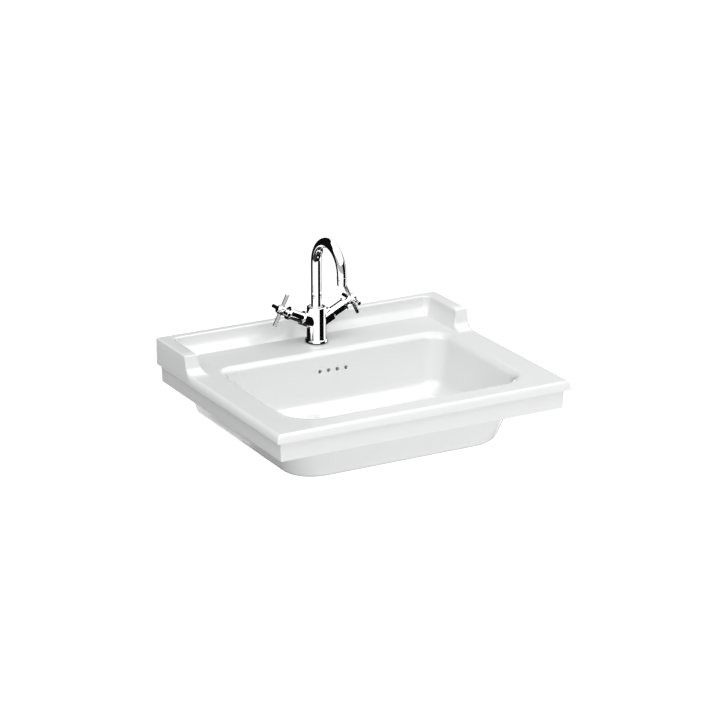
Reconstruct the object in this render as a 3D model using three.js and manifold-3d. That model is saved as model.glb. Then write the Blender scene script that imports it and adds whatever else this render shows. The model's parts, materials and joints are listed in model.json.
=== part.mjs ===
// A wall-held ceramic wash basin with a two-handle mixer tap and a push-to-close waste.
// Millimetres, +Z up. The origin is on the back face at deck level, midway across: +X is to the right of
// someone standing at the basin, -Y points from the wall towards them.
import * as THREE from "three";
import { mergeVertices } from "three/addons/utils/BufferGeometryUtils.js";
import Module from "manifold-3d";

const wasm = await Module();
wasm.setup();

// ---- Driving dimensions -------------------------------------------------------------------------------

const GAP = 0.3; // between pieces that touch
const CUT = 2; // how far a cutter runs past the face it opens

// Basin, outside.
const BASIN_WIDTH = 650;
const BASIN_DEPTH = 537;
const NOSE_OUT = 8; // how far the edge moulding stands out past the deck
const NOSE_HEIGHT = 16;
const COVE_INSET = 10; // fascia behind the nose
const COVE_HEIGHT = 6;
const COVE_LIP = 1; // inset of the cove's outer edge
const NOSE_UNDERCUT = 2.5;
const FASCIA_BOTTOM = 58; // below the deck
const FASCIA_TAPER = 1.5;
const OUTER_CORNER = 3;
const BACK_CORNER = 1;
const DECK_THICK = 20;
const SKIRT_WALL = 13;

// Upstand along the wall and its two wings.
const UPSTAND_HEIGHT = 38;
const UPSTAND_TOP = 15; // width of its top face along the wall
const UPSTAND_FOOT = 22; // how far the front slope spreads to the deck
const WING_TOP = 25;
const WING_FOOT = 15;
const WING_LENGTH = 134; // from the wall to the end of the top face
const WING_NOSE = 13; // fall of the end face in Y before its sweep starts
const WING_SWEEP = 30; // length of the sweep onto the deck
const WING_SWEEP_TOP = 0.3; // share of the upstand's height where the sweep ends
const WING_FACE = 0.7; // share of the upstand's height where the end face bends
const WING_FACE_LEAN = 1;
const WING_EDGE = 4;

// Bowl.
const BOWL_BACK = 130; // from the wall to the start of the rim
const FRONT_DECK = 43;
const SIDE_DECK = 58;
const BOWL_FRONT_CORNER = 66;
const BOWL_BACK_CORNER = 44;
const RIM_RADIUS = 15;
const BOWL_DRAFT = 12; // degrees
const BOWL_FLOOR = 116; // depth where the floor meets its fillet
const BOWL_FALL = 6; // fall of the floor to the outlet
const FLOOR_FILLET = 35;
const BOWL_CORNER_LOSS = 0.3; // share of the inset that a corner radius gives up
const FRONT_LEAN = 21; // how much further the front wall leans back than the sides, by the fascia's foot

// Tub under the deck.
const TUB_SIDE_SETBACK = 91; // from the basin's side to the tub's, at its bottom before the rounded edge
const TUB_FRONT_SETBACK = 99;
const TUB_TAPER = 17; // degrees
const TUB_CORNER = 60;
const TUB_EDGE = 14;
const TUB_WALL = 13;
const BACK_WALL = 14;
const WALL_BOLT_SPACING = 280;
const WALL_BOLT_DEPTH = 88; // below the deck
const WALL_BOLT_HOLE = 14;

// Outlet and overflow.
const OUTLET_SET_BACK = 12; // from the middle of the bowl towards the wall
const OUTLET_CLEARANCE = 2.25; // round the waste tube
const OUTLET_RECESS = 4;
const OUTLET_RECESS_CLEARANCE = 1.3; // round the waste flange
const OUTLET_MARGIN = 2; // of flat floor round the waste flange
const OVERFLOW_HOLES = 4;
const OVERFLOW_HOLE = 8;
const OVERFLOW_SPACING = 20;
const OVERFLOW_DEPTH = 39;
const DUCT_WIDTH = 76;
const DUCT_DEPTH = 18; // front to back
const DUCT_WALL = 8;
const DUCT_TOP = 30; // below the deck
const DRAIN_WIDTH = 26; // the duct's run under the bowl floor
const DRAIN_HEIGHT = 7;
const DRAIN_ROOF = 5; // ceramic over that run
const DRAIN_FLOOR = 7; // ceramic under that run

// Tap body.
const TAP_Y = -78;
const TAP_HOLE = 35;
const GASKET_THICK = 1.7;
const GASKET_SET_IN = 1; // inside the base ring's edge
const GASKET_SET_OUT = 1; // outside the tap hole's edge
const TAP_BODY = 40; // diameter
const TAP_EDGE = 1.5;
const BASE_RING_WIDTH = 3.5;
const BASE_RING_HEIGHT = 5;
const BASE_RING_EDGE = 1.2;
const CHAMBER = 15; // mixing chamber's diameter
const CHAMBER_BOTTOM = 32;
const PORT = 8.5;
const PORT_SPACING = 19;
const PORT_SET_BACK = 7;
const PORT_TOP = 38;

// Spout.
const SPOUT_TUBE = 22;
const SPOUT_WALL = 1.9;
const SPOUT_RADIUS = 54.5; // of the arch's centre line
const SPOUT_SPRING = 169; // height where the arch springs from the riser
const NOZZLE_DROP = 1; // of its top below the end of the arch
const NOZZLE_HEIGHT = 18;
const NOZZLE_LIP = 0.5; // chamfer at its mouth
const NOZZLE_BAND = 1; // straight band under its top
const NOZZLE_WALL = 1; // round the insert, inside the tube's bore
const NOZZLE_SPIGOT = 4; // up inside the tube
const NOZZLE_LEDGE = 2; // depth of the ledge that stops the insert
const NOZZLE_LEDGE_WIDTH = 1.5;
const INSERT_BORE = 3;
const INSERT_SET_IN = 1; // above the nozzle's mouth
const INSERT_HEIGHT = 11;
const NOZZLE_SET_IN = 0.5; // inside the tube's outer face
const NOZZLE_TAPER = 0.6;
const BUSH_WALL = 2.2;
const SEAT_HEIGHT = 9; // of the stem that turns in the body
const SEAT_CLEARANCE = 0.2; // between the stem's seat and the valves' seats below it
const STEM_BORE = 14.2;
const STEM_SPIGOT = 8;
const O_RING = 1.9; // section diameter
const O_RING_GROOVE = 2.1; // depth
const O_RING_SHARES = [0.25, 0.72]; // of the seat's height, at which the two rings lie
const GRUB_SCREW = 3.8;
const GRUB_SET_IN = 1; // inside the body's side
const BUSH_HEIGHT = 9.7;
const GRUB_DROP = 6; // below the body's top

// Valves: lengths are along the barrel.
const VALVE_HEIGHT = 40;
const VALVE_ANGLE = 26; // degrees above level
const CARTRIDGE = 18.6;
const CARTRIDGE_INSET = 3.5; // from the mixing chamber's wall to the cartridge
const CARTRIDGE_WATERWAY = 6.4;
const CARTRIDGE_SET_IN = 2; // inside the sleeve's end
const SLEEVE_WALL = 1.9;
const SLEEVE_ROOT_WALL = 5.4;
const SLEEVE_ROOT_LENGTH = 18; // from the body's side
const SLEEVE_LENGTH = 31;
const SLEEVE_EDGE = 1.2;
const COLLAR_LIP = 2.5; // how far the collar stands out past the sleeve
const COLLAR_THICK = 3.6;
const SPINDLE = 8;
const SPINDLE_EDGE = 0.6;
const SPINDLE_IN_CARTRIDGE = 27;
const SPINDLE_IN_HUB = 10;
const HUB_CLEARANCE = 3.1; // from the collar to the hub
const HUB_NECK = 13;
const HUB_NECK_LENGTH = 6;
const HUB_LENGTH = 15;
const HUB = 19;
const HUB_EDGE = 1.5;
const ARM = 8.6;
const ARM_SPAN = 70; // tip to tip
const ARM_OFFSET = 0.5; // from the middle of the hub, outwards
const ARM_SPIGOT = 4.6;
const ARM_SPIGOT_DEPTH = 3.4;
const ARM_EDGE = 1.6;
const HANDLE_SCREW = 3.6;
const HANDLE_SCREW_IN_SPINDLE = 8;
const HANDLE_SCREW_WEB = 5; // of the hub, under the screw's head
const HANDLE_SCREW_HEAD = 7;
const HANDLE_SCREW_HEAD_HEIGHT = 2;
const CAP_PLUG = 8.4;
const CAP_PLUG_LENGTH = 1.5;
const CAP_HEIGHT = 4;
const CAP_CROWN = [[1, 0.35], [0.8, 0.8], [0.4, 1], [0, 1]]; // shares of the cap's radius and height

// Tap fixings under the deck.
const STUD = 7.8;
const STUD_EDGE = 0.6;
const STUD_SET_FORWARD = 9;
const STUD_IN_BODY = 12;
const STUD_END = 62; // below the deck
const HORSESHOE_LAP = 4.5; // past the tap hole's edge
const HORSESHOE_SLOT = 25;
const HORSESHOE_RUBBER = 3;
const HORSESHOE_METAL = 2.2;
const STUD_NUT = 13; // across its flats
const STUD_NUT_SIDES = 6;
const STUD_NUT_HEIGHT = 10;

// Waste.
const WASTE_FLANGE = 63;
const WASTE_FLANGE_THICK = 2.2;
const WASTE_FLANGE_EDGE = 1;
const WASTE_MOUTH = 2; // chamfer at the top of the tube
const WASTE_SEAL_SET_IN = 1.5; // inside the flange's edge
const WASTE_SEAL_SET_OUT = 0.5; // outside the outlet's edge
const WASTE_SEAL_THICK = 1.3;
const WASTE_TUBE = 41.5;
const WASTE_WALL = 2.6;
const WASTE_TAIL = 41; // below the tub
const WASTE_SLOT = 15;
const LOWER_SEAL_LAP = 7; // past the outlet's edge
const LOWER_SEAL_THICK = 4;
const BACKNUT_WALL = 8;
const BACKNUT_SIDES = 8;
const BACKNUT_HEIGHT = 9;
const CARRIER_DROP = 10; // from the waste flange to the plug's latch housing
const CARRIER_HEIGHT = 40;
const CARRIER = 17;
const CARRIER_BORE = 11.4;
const CARRIER_WEB = 3;
const CARRIER_WEB_WIDTH = 4.25;
const CARRIER_FLOOR = 2;
const PLUG_SET_IN = 2.5; // inside the waste flange's edge
const PLUG_THICK = 4;
const PLUG_CROWN = 2;
const PLUG_TRAVEL = 8;
const PLUG_EDGE = 1;
const PLUG_DOME = [[0.6, 0.7], [0.25, 1], [0, 1]]; // shares of the plug's radius and of its crown
const PLUG_STEM = 10.4;
const PLUG_TIP = 5.2; // of the stem, up in the cap
const PLUG_STEM_REACH = 17; // down into its housing
const PLUG_SEAL = 2.6; // section diameter
const SPRING_WIRE = 0.9;
const SPRING_TURNS = 5;

// Facets.
const ROUND = 24;
const SMALL_ROUND = 14;
const TINY_ROUND = 8;
const O_RING_FACETS = 6;
const CORNER_STEPS = 6;
const ARCH_STEPS = 12;
const SPOUT_STEPS = 24;
const SPOUT_FACETS = 8; // in half a turn
const SPRING_STEPS = 11; // in each turn
const SPRING_FACETS = 2; // in half a turn

// ---- Derived values that several pieces share ---------------------------------------------------------

const deg = Math.PI / 180;
const halfWidth = BASIN_WIDTH / 2;
const bowlHalf = halfWidth - SIDE_DECK;
const bowlFront = -(BASIN_DEPTH - FRONT_DECK);
const outletY = (bowlFront - BOWL_BACK) / 2 + OUTLET_SET_BACK;
const outletBore = WASTE_TUBE + 2 * OUTLET_CLEARANCE;
const outletFloor = -(BOWL_FLOOR + BOWL_FALL);
const recessFloor = outletFloor - OUTLET_RECESS;
const drainTop = recessFloor - DRAIN_ROOF;
const drainBottom = drainTop - DRAIN_HEIGHT;
const tubBottom = drainBottom - DRAIN_FLOOR;
const tubHalf = halfWidth - TUB_SIDE_SETBACK;
const tubFront = BASIN_DEPTH - TUB_FRONT_SETBACK;

const baseRing = TAP_BODY + 2 * BASE_RING_WIDTH;
const gasketTop = GAP + GASKET_THICK;
const bodyBottom = gasketTop + GAP;
const spoutBore = SPOUT_TUBE + 2 * (GAP + BUSH_WALL);
const seatRadius = spoutBore / 2 - GAP;
const valveRise = seatRadius * Math.tan(VALVE_ANGLE * deg) + CARTRIDGE / 2 / Math.cos(VALVE_ANGLE * deg);
const seatBottom = VALVE_HEIGHT + valveRise + SEAT_CLEARANCE;
const spoutStart = seatBottom + SEAT_HEIGHT;
const tapTop = spoutStart + GAP + BUSH_HEIGHT;
const tubeBore = SPOUT_TUBE - 2 * SPOUT_WALL;
const nozzleTop = SPOUT_SPRING - NOZZLE_DROP;
const spoutTip = nozzleTop - NOZZLE_HEIGHT;
const grubHeight = tapTop - GRUB_DROP;

// Distances along a valve's barrel, from the tap's axis.
const cartridgeStart = CHAMBER / 2 + CARTRIDGE_INSET;
const sleeveRootEnd = TAP_BODY / 2 + SLEEVE_ROOT_LENGTH;
const sleeveEnd = sleeveRootEnd + SLEEVE_LENGTH;
const cartridgeEnd = sleeveEnd - CARTRIDGE_SET_IN;
const spindleStart = cartridgeEnd - SPINDLE_IN_CARTRIDGE;
const hubStart = sleeveEnd + GAP + COLLAR_THICK + HUB_CLEARANCE;
const hubNeckEnd = hubStart + HUB_NECK_LENGTH;
const hubEnd = hubNeckEnd + HUB_LENGTH;
const spindleEnd = hubStart + SPINDLE_IN_HUB;
const armsAt = (hubNeckEnd + hubEnd) / 2 + ARM_OFFSET;
const screwTip = spindleEnd - HANDLE_SCREW_IN_SPINDLE;
const screwSeat = spindleEnd + HANDLE_SCREW_WEB;
const sleeveBore = CARTRIDGE + 2 * GAP;

const horseshoeWidth = TAP_HOLE + 2 * HORSESHOE_LAP;
const wasteEnd = tubBottom - WASTE_TAIL;
const flangeBottom = recessFloor + GAP + WASTE_SEAL_THICK + GAP;
const flangeTop = flangeBottom + WASTE_FLANGE_THICK;
const carrierTop = flangeTop - CARRIER_DROP;
const carrierBottom = carrierTop - CARRIER_HEIGHT;
const plugWidth = WASTE_FLANGE - 2 * PLUG_SET_IN;
const plugBottom = flangeTop + GAP + PLUG_TRAVEL + PLUG_SEAL + GAP;
const stemBottom = carrierTop - PLUG_STEM_REACH;

// ---- Finishes -----------------------------------------------------------------------------------------

const FINISHES = {
  ceramic: { color: 0xf3f3f1, roughness: 0.1, metalness: 0 },
  chrome: { color: 0xdcdfe2, roughness: 0.06, metalness: 1 },
  brass: { color: 0xc9a24b, roughness: 0.35, metalness: 1 },
  steel: { color: 0xb9bcbf, roughness: 0.35, metalness: 1 },
  rubber: { color: 0x1c1c1d, roughness: 0.8, metalness: 0 },
  white_plastic: { color: 0xe9e9e6, roughness: 0.4, metalness: 0 },
  black_plastic: { color: 0x262729, roughness: 0.5, metalness: 0 },
};

const part = new THREE.Group();

function addPiece(name, geometry, finish, parent = part) {
  geometry.computeVertexNormals();
  const mesh = new THREE.Mesh(geometry, new THREE.MeshStandardMaterial(FINISHES[finish]));
  mesh.name = name;
  parent.add(mesh);
  return mesh;
}

// ---- Solids -------------------------------------------------------------------------------------------

// A closed geometry as a manifold solid.
function solid(geometry) {
  const bare = geometry.clone();
  bare.deleteAttribute("normal");
  bare.deleteAttribute("uv");
  const merged = mergeVertices(bare, 1e-4);
  return new wasm.Manifold(
    new wasm.Mesh({
      numProp: 3,
      vertProperties: merged.attributes.position.array,
      triVerts: new Uint32Array(merged.index.array),
    }),
  );
}

// A manifold solid as a geometry.
function surface(made) {
  const mesh = made.getMesh();
  const geometry = new THREE.BufferGeometry();
  geometry.setAttribute("position", new THREE.BufferAttribute(mesh.vertProperties, 3));
  geometry.setIndex(new THREE.BufferAttribute(mesh.triVerts, 1));
  return geometry;
}

function cut(body, ...tools) {
  return tools.reduce((left, tool) => left.subtract(tool), body);
}

function join(...bodies) {
  return bodies.reduce((whole, body) => whole.add(body));
}

// A profile of [radius, height] pairs turned about +Z.
function turned(profile, facets = ROUND) {
  const points = profile.map(([radius, height]) => new THREE.Vector2(radius, height));
  return new THREE.LatheGeometry(points, facets).rotateX(Math.PI / 2);
}

function rod(diameter, bottom, top, facets = ROUND) {
  const radius = diameter / 2;
  return turned([[0, bottom], [radius, bottom], [radius, top], [0, top]], facets);
}

// A rod whose two ends have a chamfer.
function bevelledRod(diameter, bottom, top, bevel, facets = ROUND) {
  const radius = diameter / 2;
  const profile = [
    [0, bottom],
    [radius - bevel, bottom],
    [radius, bottom + bevel],
    [radius, top - bevel],
    [radius - bevel, top],
    [0, top],
  ];
  return turned(profile, facets);
}

function ring(outer, inner, bottom, top, facets = ROUND) {
  const profile = [
    [inner / 2, bottom],
    [outer / 2, bottom],
    [outer / 2, top],
    [inner / 2, top],
    [inner / 2, bottom],
  ];
  return turned(profile, facets);
}

function oRing(middle, section, height) {
  const profile = [];
  for (let i = 0; i <= O_RING_FACETS; i++) {
    const turn = (i / O_RING_FACETS) * 2 * Math.PI;
    profile.push([middle / 2 + (section / 2) * Math.cos(turn), height + (section / 2) * Math.sin(turn)]);
  }
  return turned(profile);
}

function block(x, y, z) {
  const size = [x[1] - x[0], y[1] - y[0], z[1] - z[0]];
  const middle = [(x[0] + x[1]) / 2, (y[0] + y[1]) / 2, (z[0] + z[1]) / 2];
  return new THREE.BoxGeometry(...size).translate(...middle);
}

// A level outline with four rounded corners, listed anticlockwise from above.
function outline({ half, front, back, frontCorner, backCorner, z }) {
  const corners = [
    [half - frontCorner, front + frontCorner, frontCorner, -90],
    [half - backCorner, back - backCorner, backCorner, 0],
    [-half + backCorner, back - backCorner, backCorner, 90],
    [-half + frontCorner, front + frontCorner, frontCorner, 180],
  ];
  const points = [];
  for (const [x, y, radius, start] of corners) {
    for (let i = 0; i <= CORNER_STEPS; i++) {
      const turn = (start + (90 * i) / CORNER_STEPS) * deg;
      points.push([x + radius * Math.cos(turn), y + radius * Math.sin(turn), z]);
    }
  }
  return points;
}

// A closed skin over outlines stacked from the bottom up, with a flat cap at each end.
function loft(outlines) {
  const count = outlines[0].length;
  const positions = outlines.flat();
  const index = [];
  for (let level = 0; level + 1 < outlines.length; level++) {
    for (let i = 0; i < count; i++) {
      const a = level * count + i;
      const b = level * count + ((i + 1) % count);
      index.push(a, b, b + count, a, b + count, a + count);
    }
  }
  const capCentre = (points) => [0, 1, 2].map((k) => points.reduce((sum, p) => sum + p[k], 0) / count);
  const low = positions.push(capCentre(outlines[0])) - 1;
  const high = positions.push(capCentre(outlines.at(-1))) - 1;
  const last = (outlines.length - 1) * count;
  for (let i = 0; i < count; i++) {
    const next = (i + 1) % count;
    index.push(low, next, i, high, last + i, last + next);
  }
  const geometry = new THREE.BufferGeometry();
  geometry.setAttribute("position", new THREE.Float32BufferAttribute(positions.flat(), 3));
  geometry.setIndex(index);
  return geometry;
}

// ---- Basin --------------------------------------------------------------------------------------------

// The deck slab with its edge moulding: nose, cove and fascia, hollow below.
function deckShell() {
  const nose = [0, 15, 35, 55, 75, 90].map((turn) => ({
    inset: NOSE_OUT * (1 - Math.cos(turn * deg)),
    z: -NOSE_HEIGHT * (1 - Math.sin(turn * deg)),
  }));
  const coveTop = -(NOSE_HEIGHT + NOSE_UNDERCUT);
  const cove = [90, 60, 30, 0].map((turn) => ({
    inset: COVE_LIP + (COVE_INSET - COVE_LIP) * Math.sin(turn * deg),
    z: coveTop - COVE_HEIGHT * (1 - Math.cos(turn * deg)),
  }));
  const edge = [{ inset: COVE_INSET + FASCIA_TAPER, z: -FASCIA_BOTTOM }, ...cove, ...nose];
  const slab = loft(
    edge.map(({ inset, z }) =>
      outline({
        half: halfWidth - inset,
        front: -(BASIN_DEPTH - inset),
        back: 0,
        frontCorner: OUTER_CORNER,
        backCorner: BACK_CORNER,
        z,
      }),
    ),
  );
  const inset = COVE_INSET + FASCIA_TAPER + SKIRT_WALL;
  const hollow = loft(
    [-(FASCIA_BOTTOM + CUT), -DECK_THICK].map((z) =>
      outline({
        half: halfWidth - inset,
        front: -(BASIN_DEPTH - inset),
        back: -BACK_WALL,
        frontCorner: OUTER_CORNER,
        backCorner: OUTER_CORNER,
        z,
      }),
    ),
  );
  return cut(solid(slab), solid(hollow));
}

// How far the front wall leans back at a height, beyond its draft: it starts under the rim.
function frontLean(z) {
  const fall = (-z - RIM_RADIUS) / (FASCIA_BOTTOM - RIM_RADIUS);
  return FRONT_LEAN * Math.min(Math.max(fall, 0), 1);
}

// The tub's outline at a height; wall is how far it lies inside the outer face.
function tubOutline(z, wall, edgeInset = 0) {
  const spread = (z - tubBottom) * Math.tan(TUB_TAPER * deg) - wall - edgeInset;
  return {
    half: tubHalf + spread,
    front: -(tubFront + spread + FRONT_LEAN - frontLean(z)),
    frontCorner: TUB_CORNER - wall,
    z,
  };
}

// The tub: tapered walls, a flat back against the wall, and a pocket behind the bowl that is open below.
function tubShell() {
  const edge = [90, 60, 30, 0].map((turn) => ({
    inset: TUB_EDGE * (1 - Math.cos(turn * deg)),
    z: tubBottom + TUB_EDGE * (1 - Math.sin(turn * deg)),
  }));
  const levels = [...edge, { inset: 0, z: -FASCIA_BOTTOM }, { inset: 0, z: -RIM_RADIUS }];
  const tub = loft(
    levels.map(({ inset, z }) => outline({ ...tubOutline(z, 0, inset), back: 0, backCorner: OUTER_CORNER })),
  );
  const pocketFront = (z) => ductMiddle - (-z - RIM_RADIUS) * Math.tan(BOWL_DRAFT * deg);
  const pocket = loft(
    [tubBottom - CUT, -DECK_THICK].map((z) =>
      outline({
        half: tubOutline(z, TUB_WALL).half,
        front: pocketFront(z),
        back: -BACK_WALL,
        frontCorner: OUTER_CORNER,
        backCorner: OUTER_CORNER,
        z,
      }),
    ),
  );
  return cut(solid(tub), solid(pocket));
}

// The space inside the bowl, from its floor up through the rim.
function bowlSpace() {
  const wallTop = 90 - BOWL_DRAFT;
  const rim = [1, 0.66, 0.33, 0].map((share) => ({
    inset: RIM_RADIUS * Math.sin(share * wallTop * deg),
    z: -RIM_RADIUS * (1 - Math.cos(share * wallTop * deg)),
  }));
  const rimFoot = rim[0];
  const filletCentre = -BOWL_FLOOR + FLOOR_FILLET;
  const wallFoot = filletCentre - FLOOR_FILLET * Math.sin(BOWL_DRAFT * deg);
  const draftInset = (z) => rimFoot.inset + (rimFoot.z - z) * Math.tan(BOWL_DRAFT * deg);
  const footInset = draftInset(wallFoot);
  const filletInset = footInset + FLOOR_FILLET * Math.cos(BOWL_DRAFT * deg);
  const fillet = [90, 70, 50, 30, BOWL_DRAFT].map((turn) => ({
    inset: filletInset - FLOOR_FILLET * Math.cos(turn * deg),
    z: filletCentre - FLOOR_FILLET * Math.sin(turn * deg),
  }));
  const outlet = WASTE_FLANGE / 2 + OUTLET_MARGIN;
  const leanEnd = { inset: draftInset(-FASCIA_BOTTOM), z: -FASCIA_BOTTOM };
  const walls = [...fillet, leanEnd, ...rim, { inset: 0, z: CUT }].map(({ inset, z }) =>
    outline({
      half: bowlHalf - inset,
      front: bowlFront + inset + frontLean(z),
      back: -BOWL_BACK - inset,
      frontCorner: BOWL_FRONT_CORNER - BOWL_CORNER_LOSS * inset,
      backCorner: BOWL_BACK_CORNER - BOWL_CORNER_LOSS * inset,
      z,
    }),
  );
  const floor = outline({
    half: outlet,
    front: outletY - outlet,
    back: outletY + outlet,
    frontCorner: outlet,
    backCorner: outlet,
    z: outletFloor,
  });
  return solid(loft([floor, ...walls]));
}

// The upstand: a raised band along the wall, with a wing down each side that sweeps onto the deck.
function upstand() {
  const side = new THREE.Shape();
  const sweepStart = WING_LENGTH + WING_NOSE;
  side.moveTo(0, -NOSE_HEIGHT);
  side.lineTo(-WING_LENGTH, -NOSE_HEIGHT);
  side.lineTo(-(sweepStart + WING_SWEEP), 0);
  side.quadraticCurveTo(-sweepStart, 0, -(sweepStart - WING_NOSE / 2), UPSTAND_HEIGHT * WING_SWEEP_TOP);
  const faceTop = UPSTAND_HEIGHT - WING_EDGE;
  side.quadraticCurveTo(-(WING_LENGTH + WING_FACE_LEAN), UPSTAND_HEIGHT * WING_FACE, -WING_LENGTH, faceTop);
  side.quadraticCurveTo(-WING_LENGTH, UPSTAND_HEIGHT, -(WING_LENGTH - WING_EDGE), UPSTAND_HEIGHT);
  side.lineTo(0, UPSTAND_HEIGHT);
  side.closePath();
  const band = new THREE.ExtrudeGeometry(side, { depth: BASIN_WIDTH, bevelEnabled: false, curveSegments: 5 });
  band.rotateX(Math.PI / 2).rotateZ(Math.PI / 2).translate(-halfWidth, 0, 0);
  const scoop = loft(
    [0, 0.25, 0.5, 0.75, 1].map((rise) => {
      const spread = (1 - rise) ** 2;
      return outline({
        half: halfWidth - WING_TOP - WING_FOOT * spread,
        front: -BASIN_DEPTH,
        back: -UPSTAND_TOP - UPSTAND_FOOT * spread,
        frontCorner: OUTER_CORNER,
        backCorner: OUTER_CORNER + WING_FOOT * (1 - spread),
        z: rise * (UPSTAND_HEIGHT + GAP),
      });
    }),
  );
  return cut(solid(band), solid(scoop));
}

const bowlWall = -(BOWL_BACK + RIM_RADIUS);
const ductMiddle = bowlWall + TUB_WALL;
const ductBack = ductMiddle + DUCT_DEPTH / 2;
const ductFront = ductMiddle - DUCT_DEPTH / 2;

// The overflow: a duct behind the bowl, its run to the outlet, and the row of holes.
function overflowDuct() {
  const half = DUCT_WIDTH / 2 + DUCT_WALL;
  const front = bowlWall - DUCT_DEPTH;
  return solid(block([-half, half], [front, ductBack + DUCT_WALL], [tubBottom, -DECK_THICK / 2]));
}

function overflowSpace() {
  const half = DUCT_WIDTH / 2;
  const chamber = block([-half, half], [ductFront, ductBack], [drainBottom, -DUCT_TOP]);
  const run = block([-DRAIN_WIDTH / 2, DRAIN_WIDTH / 2], [outletY, ductMiddle], [drainBottom, drainTop]);
  const holes = [];
  const reach = 2 * RIM_RADIUS + TUB_WALL;
  for (let i = 0; i < OVERFLOW_HOLES; i++) {
    const x = (i - (OVERFLOW_HOLES - 1) / 2) * OVERFLOW_SPACING;
    const hole = rod(OVERFLOW_HOLE, 0, reach, TINY_ROUND).rotateX(Math.PI / 2);
    holes.push(solid(hole.translate(x, ductMiddle, -OVERFLOW_DEPTH)));
  }
  return [solid(chamber), solid(run), ...holes];
}

function basin() {
  const outletHole = rod(outletBore, tubBottom - CUT, outletFloor).translate(0, outletY, 0);
  const recessWidth = WASTE_FLANGE + 2 * OUTLET_RECESS_CLEARANCE;
  const recess = rod(recessWidth, recessFloor, outletFloor + CUT).translate(0, outletY, 0);
  const tapHole = rod(TAP_HOLE, -(DECK_THICK + CUT), CUT).translate(0, TAP_Y, 0);
  const boltHoles = [-1, 1].map((side) => {
    const hole = rod(WALL_BOLT_HOLE, -CUT, BACK_WALL + CUT, SMALL_ROUND).rotateX(Math.PI / 2);
    return solid(hole.translate((side * WALL_BOLT_SPACING) / 2, 0, -WALL_BOLT_DEPTH));
  });
  const raw = join(deckShell(), tubShell(), overflowDuct(), upstand());
  return cut(
    raw,
    bowlSpace(),
    ...overflowSpace(),
    solid(outletHole),
    solid(recess),
    solid(tapHole),
    ...boltHoles,
  );
}

addPiece("basin", surface(basin()), "ceramic");

// ---- Tap body -----------------------------------------------------------------------------------------

const tap = new THREE.Group();
tap.position.set(0, TAP_Y, 0);
part.add(tap);

// The frame of one valve barrel: its +Z runs out along the barrel.
function valveFrame(side) {
  const frame = new THREE.Group();
  frame.position.set(0, 0, VALVE_HEIGHT);
  frame.rotation.y = side * (90 - VALVE_ANGLE) * deg;
  frame.updateMatrix();
  return frame;
}

function tapBody() {
  const shell = bevelledRod(TAP_BODY, bodyBottom, tapTop, TAP_EDGE);
  const spoutSeat = rod(spoutBore, seatBottom, tapTop + CUT);
  const chamber = rod(CHAMBER, CHAMBER_BOTTOM, seatBottom + CUT);
  const valveSeats = [-1, 1].map((side) =>
    rod(sleeveBore, cartridgeStart - GAP, TAP_BODY).applyMatrix4(valveFrame(side).matrix),
  );
  const ports = [-1, 1].map((side) =>
    rod(PORT, 0, PORT_TOP, SMALL_ROUND).translate((side * PORT_SPACING) / 2, PORT_SET_BACK, 0),
  );
  const studSocket = rod(STUD + 2 * GAP, 0, bodyBottom + STUD_IN_BODY + GAP, SMALL_ROUND);
  studSocket.translate(0, -STUD_SET_FORWARD, 0);
  const grubHole = rod(GRUB_SCREW + 2 * GAP, 0, TAP_BODY, TINY_ROUND).rotateX(-Math.PI / 2);
  grubHole.translate(0, 0, grubHeight);
  const tools = [spoutSeat, chamber, ...valveSeats, ...ports, studSocket, grubHole];
  return cut(solid(shell), ...tools.map(solid));
}

addPiece("tap_body", surface(tapBody()), "chrome", tap);
const gasket = ring(baseRing - 2 * GASKET_SET_IN, TAP_HOLE + 2 * GASKET_SET_OUT, GAP, gasketTop);
addPiece("tap_gasket", gasket, "rubber", tap);

function tapBaseRing() {
  const inner = TAP_BODY / 2 + GAP;
  const outer = baseRing / 2;
  const top = bodyBottom + BASE_RING_HEIGHT;
  return turned([
    [inner, bodyBottom],
    [outer, bodyBottom],
    [outer, top - BASE_RING_EDGE],
    [outer - BASE_RING_EDGE, top],
    [inner, top],
    [inner, bodyBottom],
  ]);
}

addPiece("tap_base_ring", tapBaseRing(), "chrome", tap);

// ---- Spout --------------------------------------------------------------------------------------------

// The spout's centre line: up the riser, over the arch towards the bowl, and a short way down.
function spoutLine() {
  const line = new THREE.CurvePath();
  const foot = new THREE.Vector3(0, 0, spoutStart + GAP);
  line.add(new THREE.LineCurve3(foot, new THREE.Vector3(0, 0, SPOUT_SPRING)));
  const arch = new THREE.CatmullRomCurve3(
    Array.from({ length: ARCH_STEPS + 1 }, (_, i) => {
      const turn = (i / ARCH_STEPS) * Math.PI;
      const y = -SPOUT_RADIUS * (1 - Math.cos(turn));
      return new THREE.Vector3(0, y, SPOUT_SPRING + SPOUT_RADIUS * Math.sin(turn));
    }),
  );
  line.add(arch);
  line.add(
    new THREE.LineCurve3(
      new THREE.Vector3(0, -2 * SPOUT_RADIUS, SPOUT_SPRING),
      new THREE.Vector3(0, -2 * SPOUT_RADIUS, nozzleTop + GAP),
    ),
  );
  return line;
}

function spoutTube() {
  const section = new THREE.Shape().absarc(0, 0, SPOUT_TUBE / 2, 0, 2 * Math.PI);
  section.holes.push(new THREE.Path().absarc(0, 0, tubeBore / 2, 0, 2 * Math.PI, true));
  return new THREE.ExtrudeGeometry(section, {
    steps: SPOUT_STEPS,
    curveSegments: SPOUT_FACETS,
    extrudePath: spoutLine(),
    bevelEnabled: false,
  });
}

// The brass stem fixed in the foot of the spout: it turns in the body's seat on two O-rings.
const ringHeights = O_RING_SHARES.map((share) => seatBottom + share * SEAT_HEIGHT);
const grooveRadius = seatRadius - O_RING_GROOVE;

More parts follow.
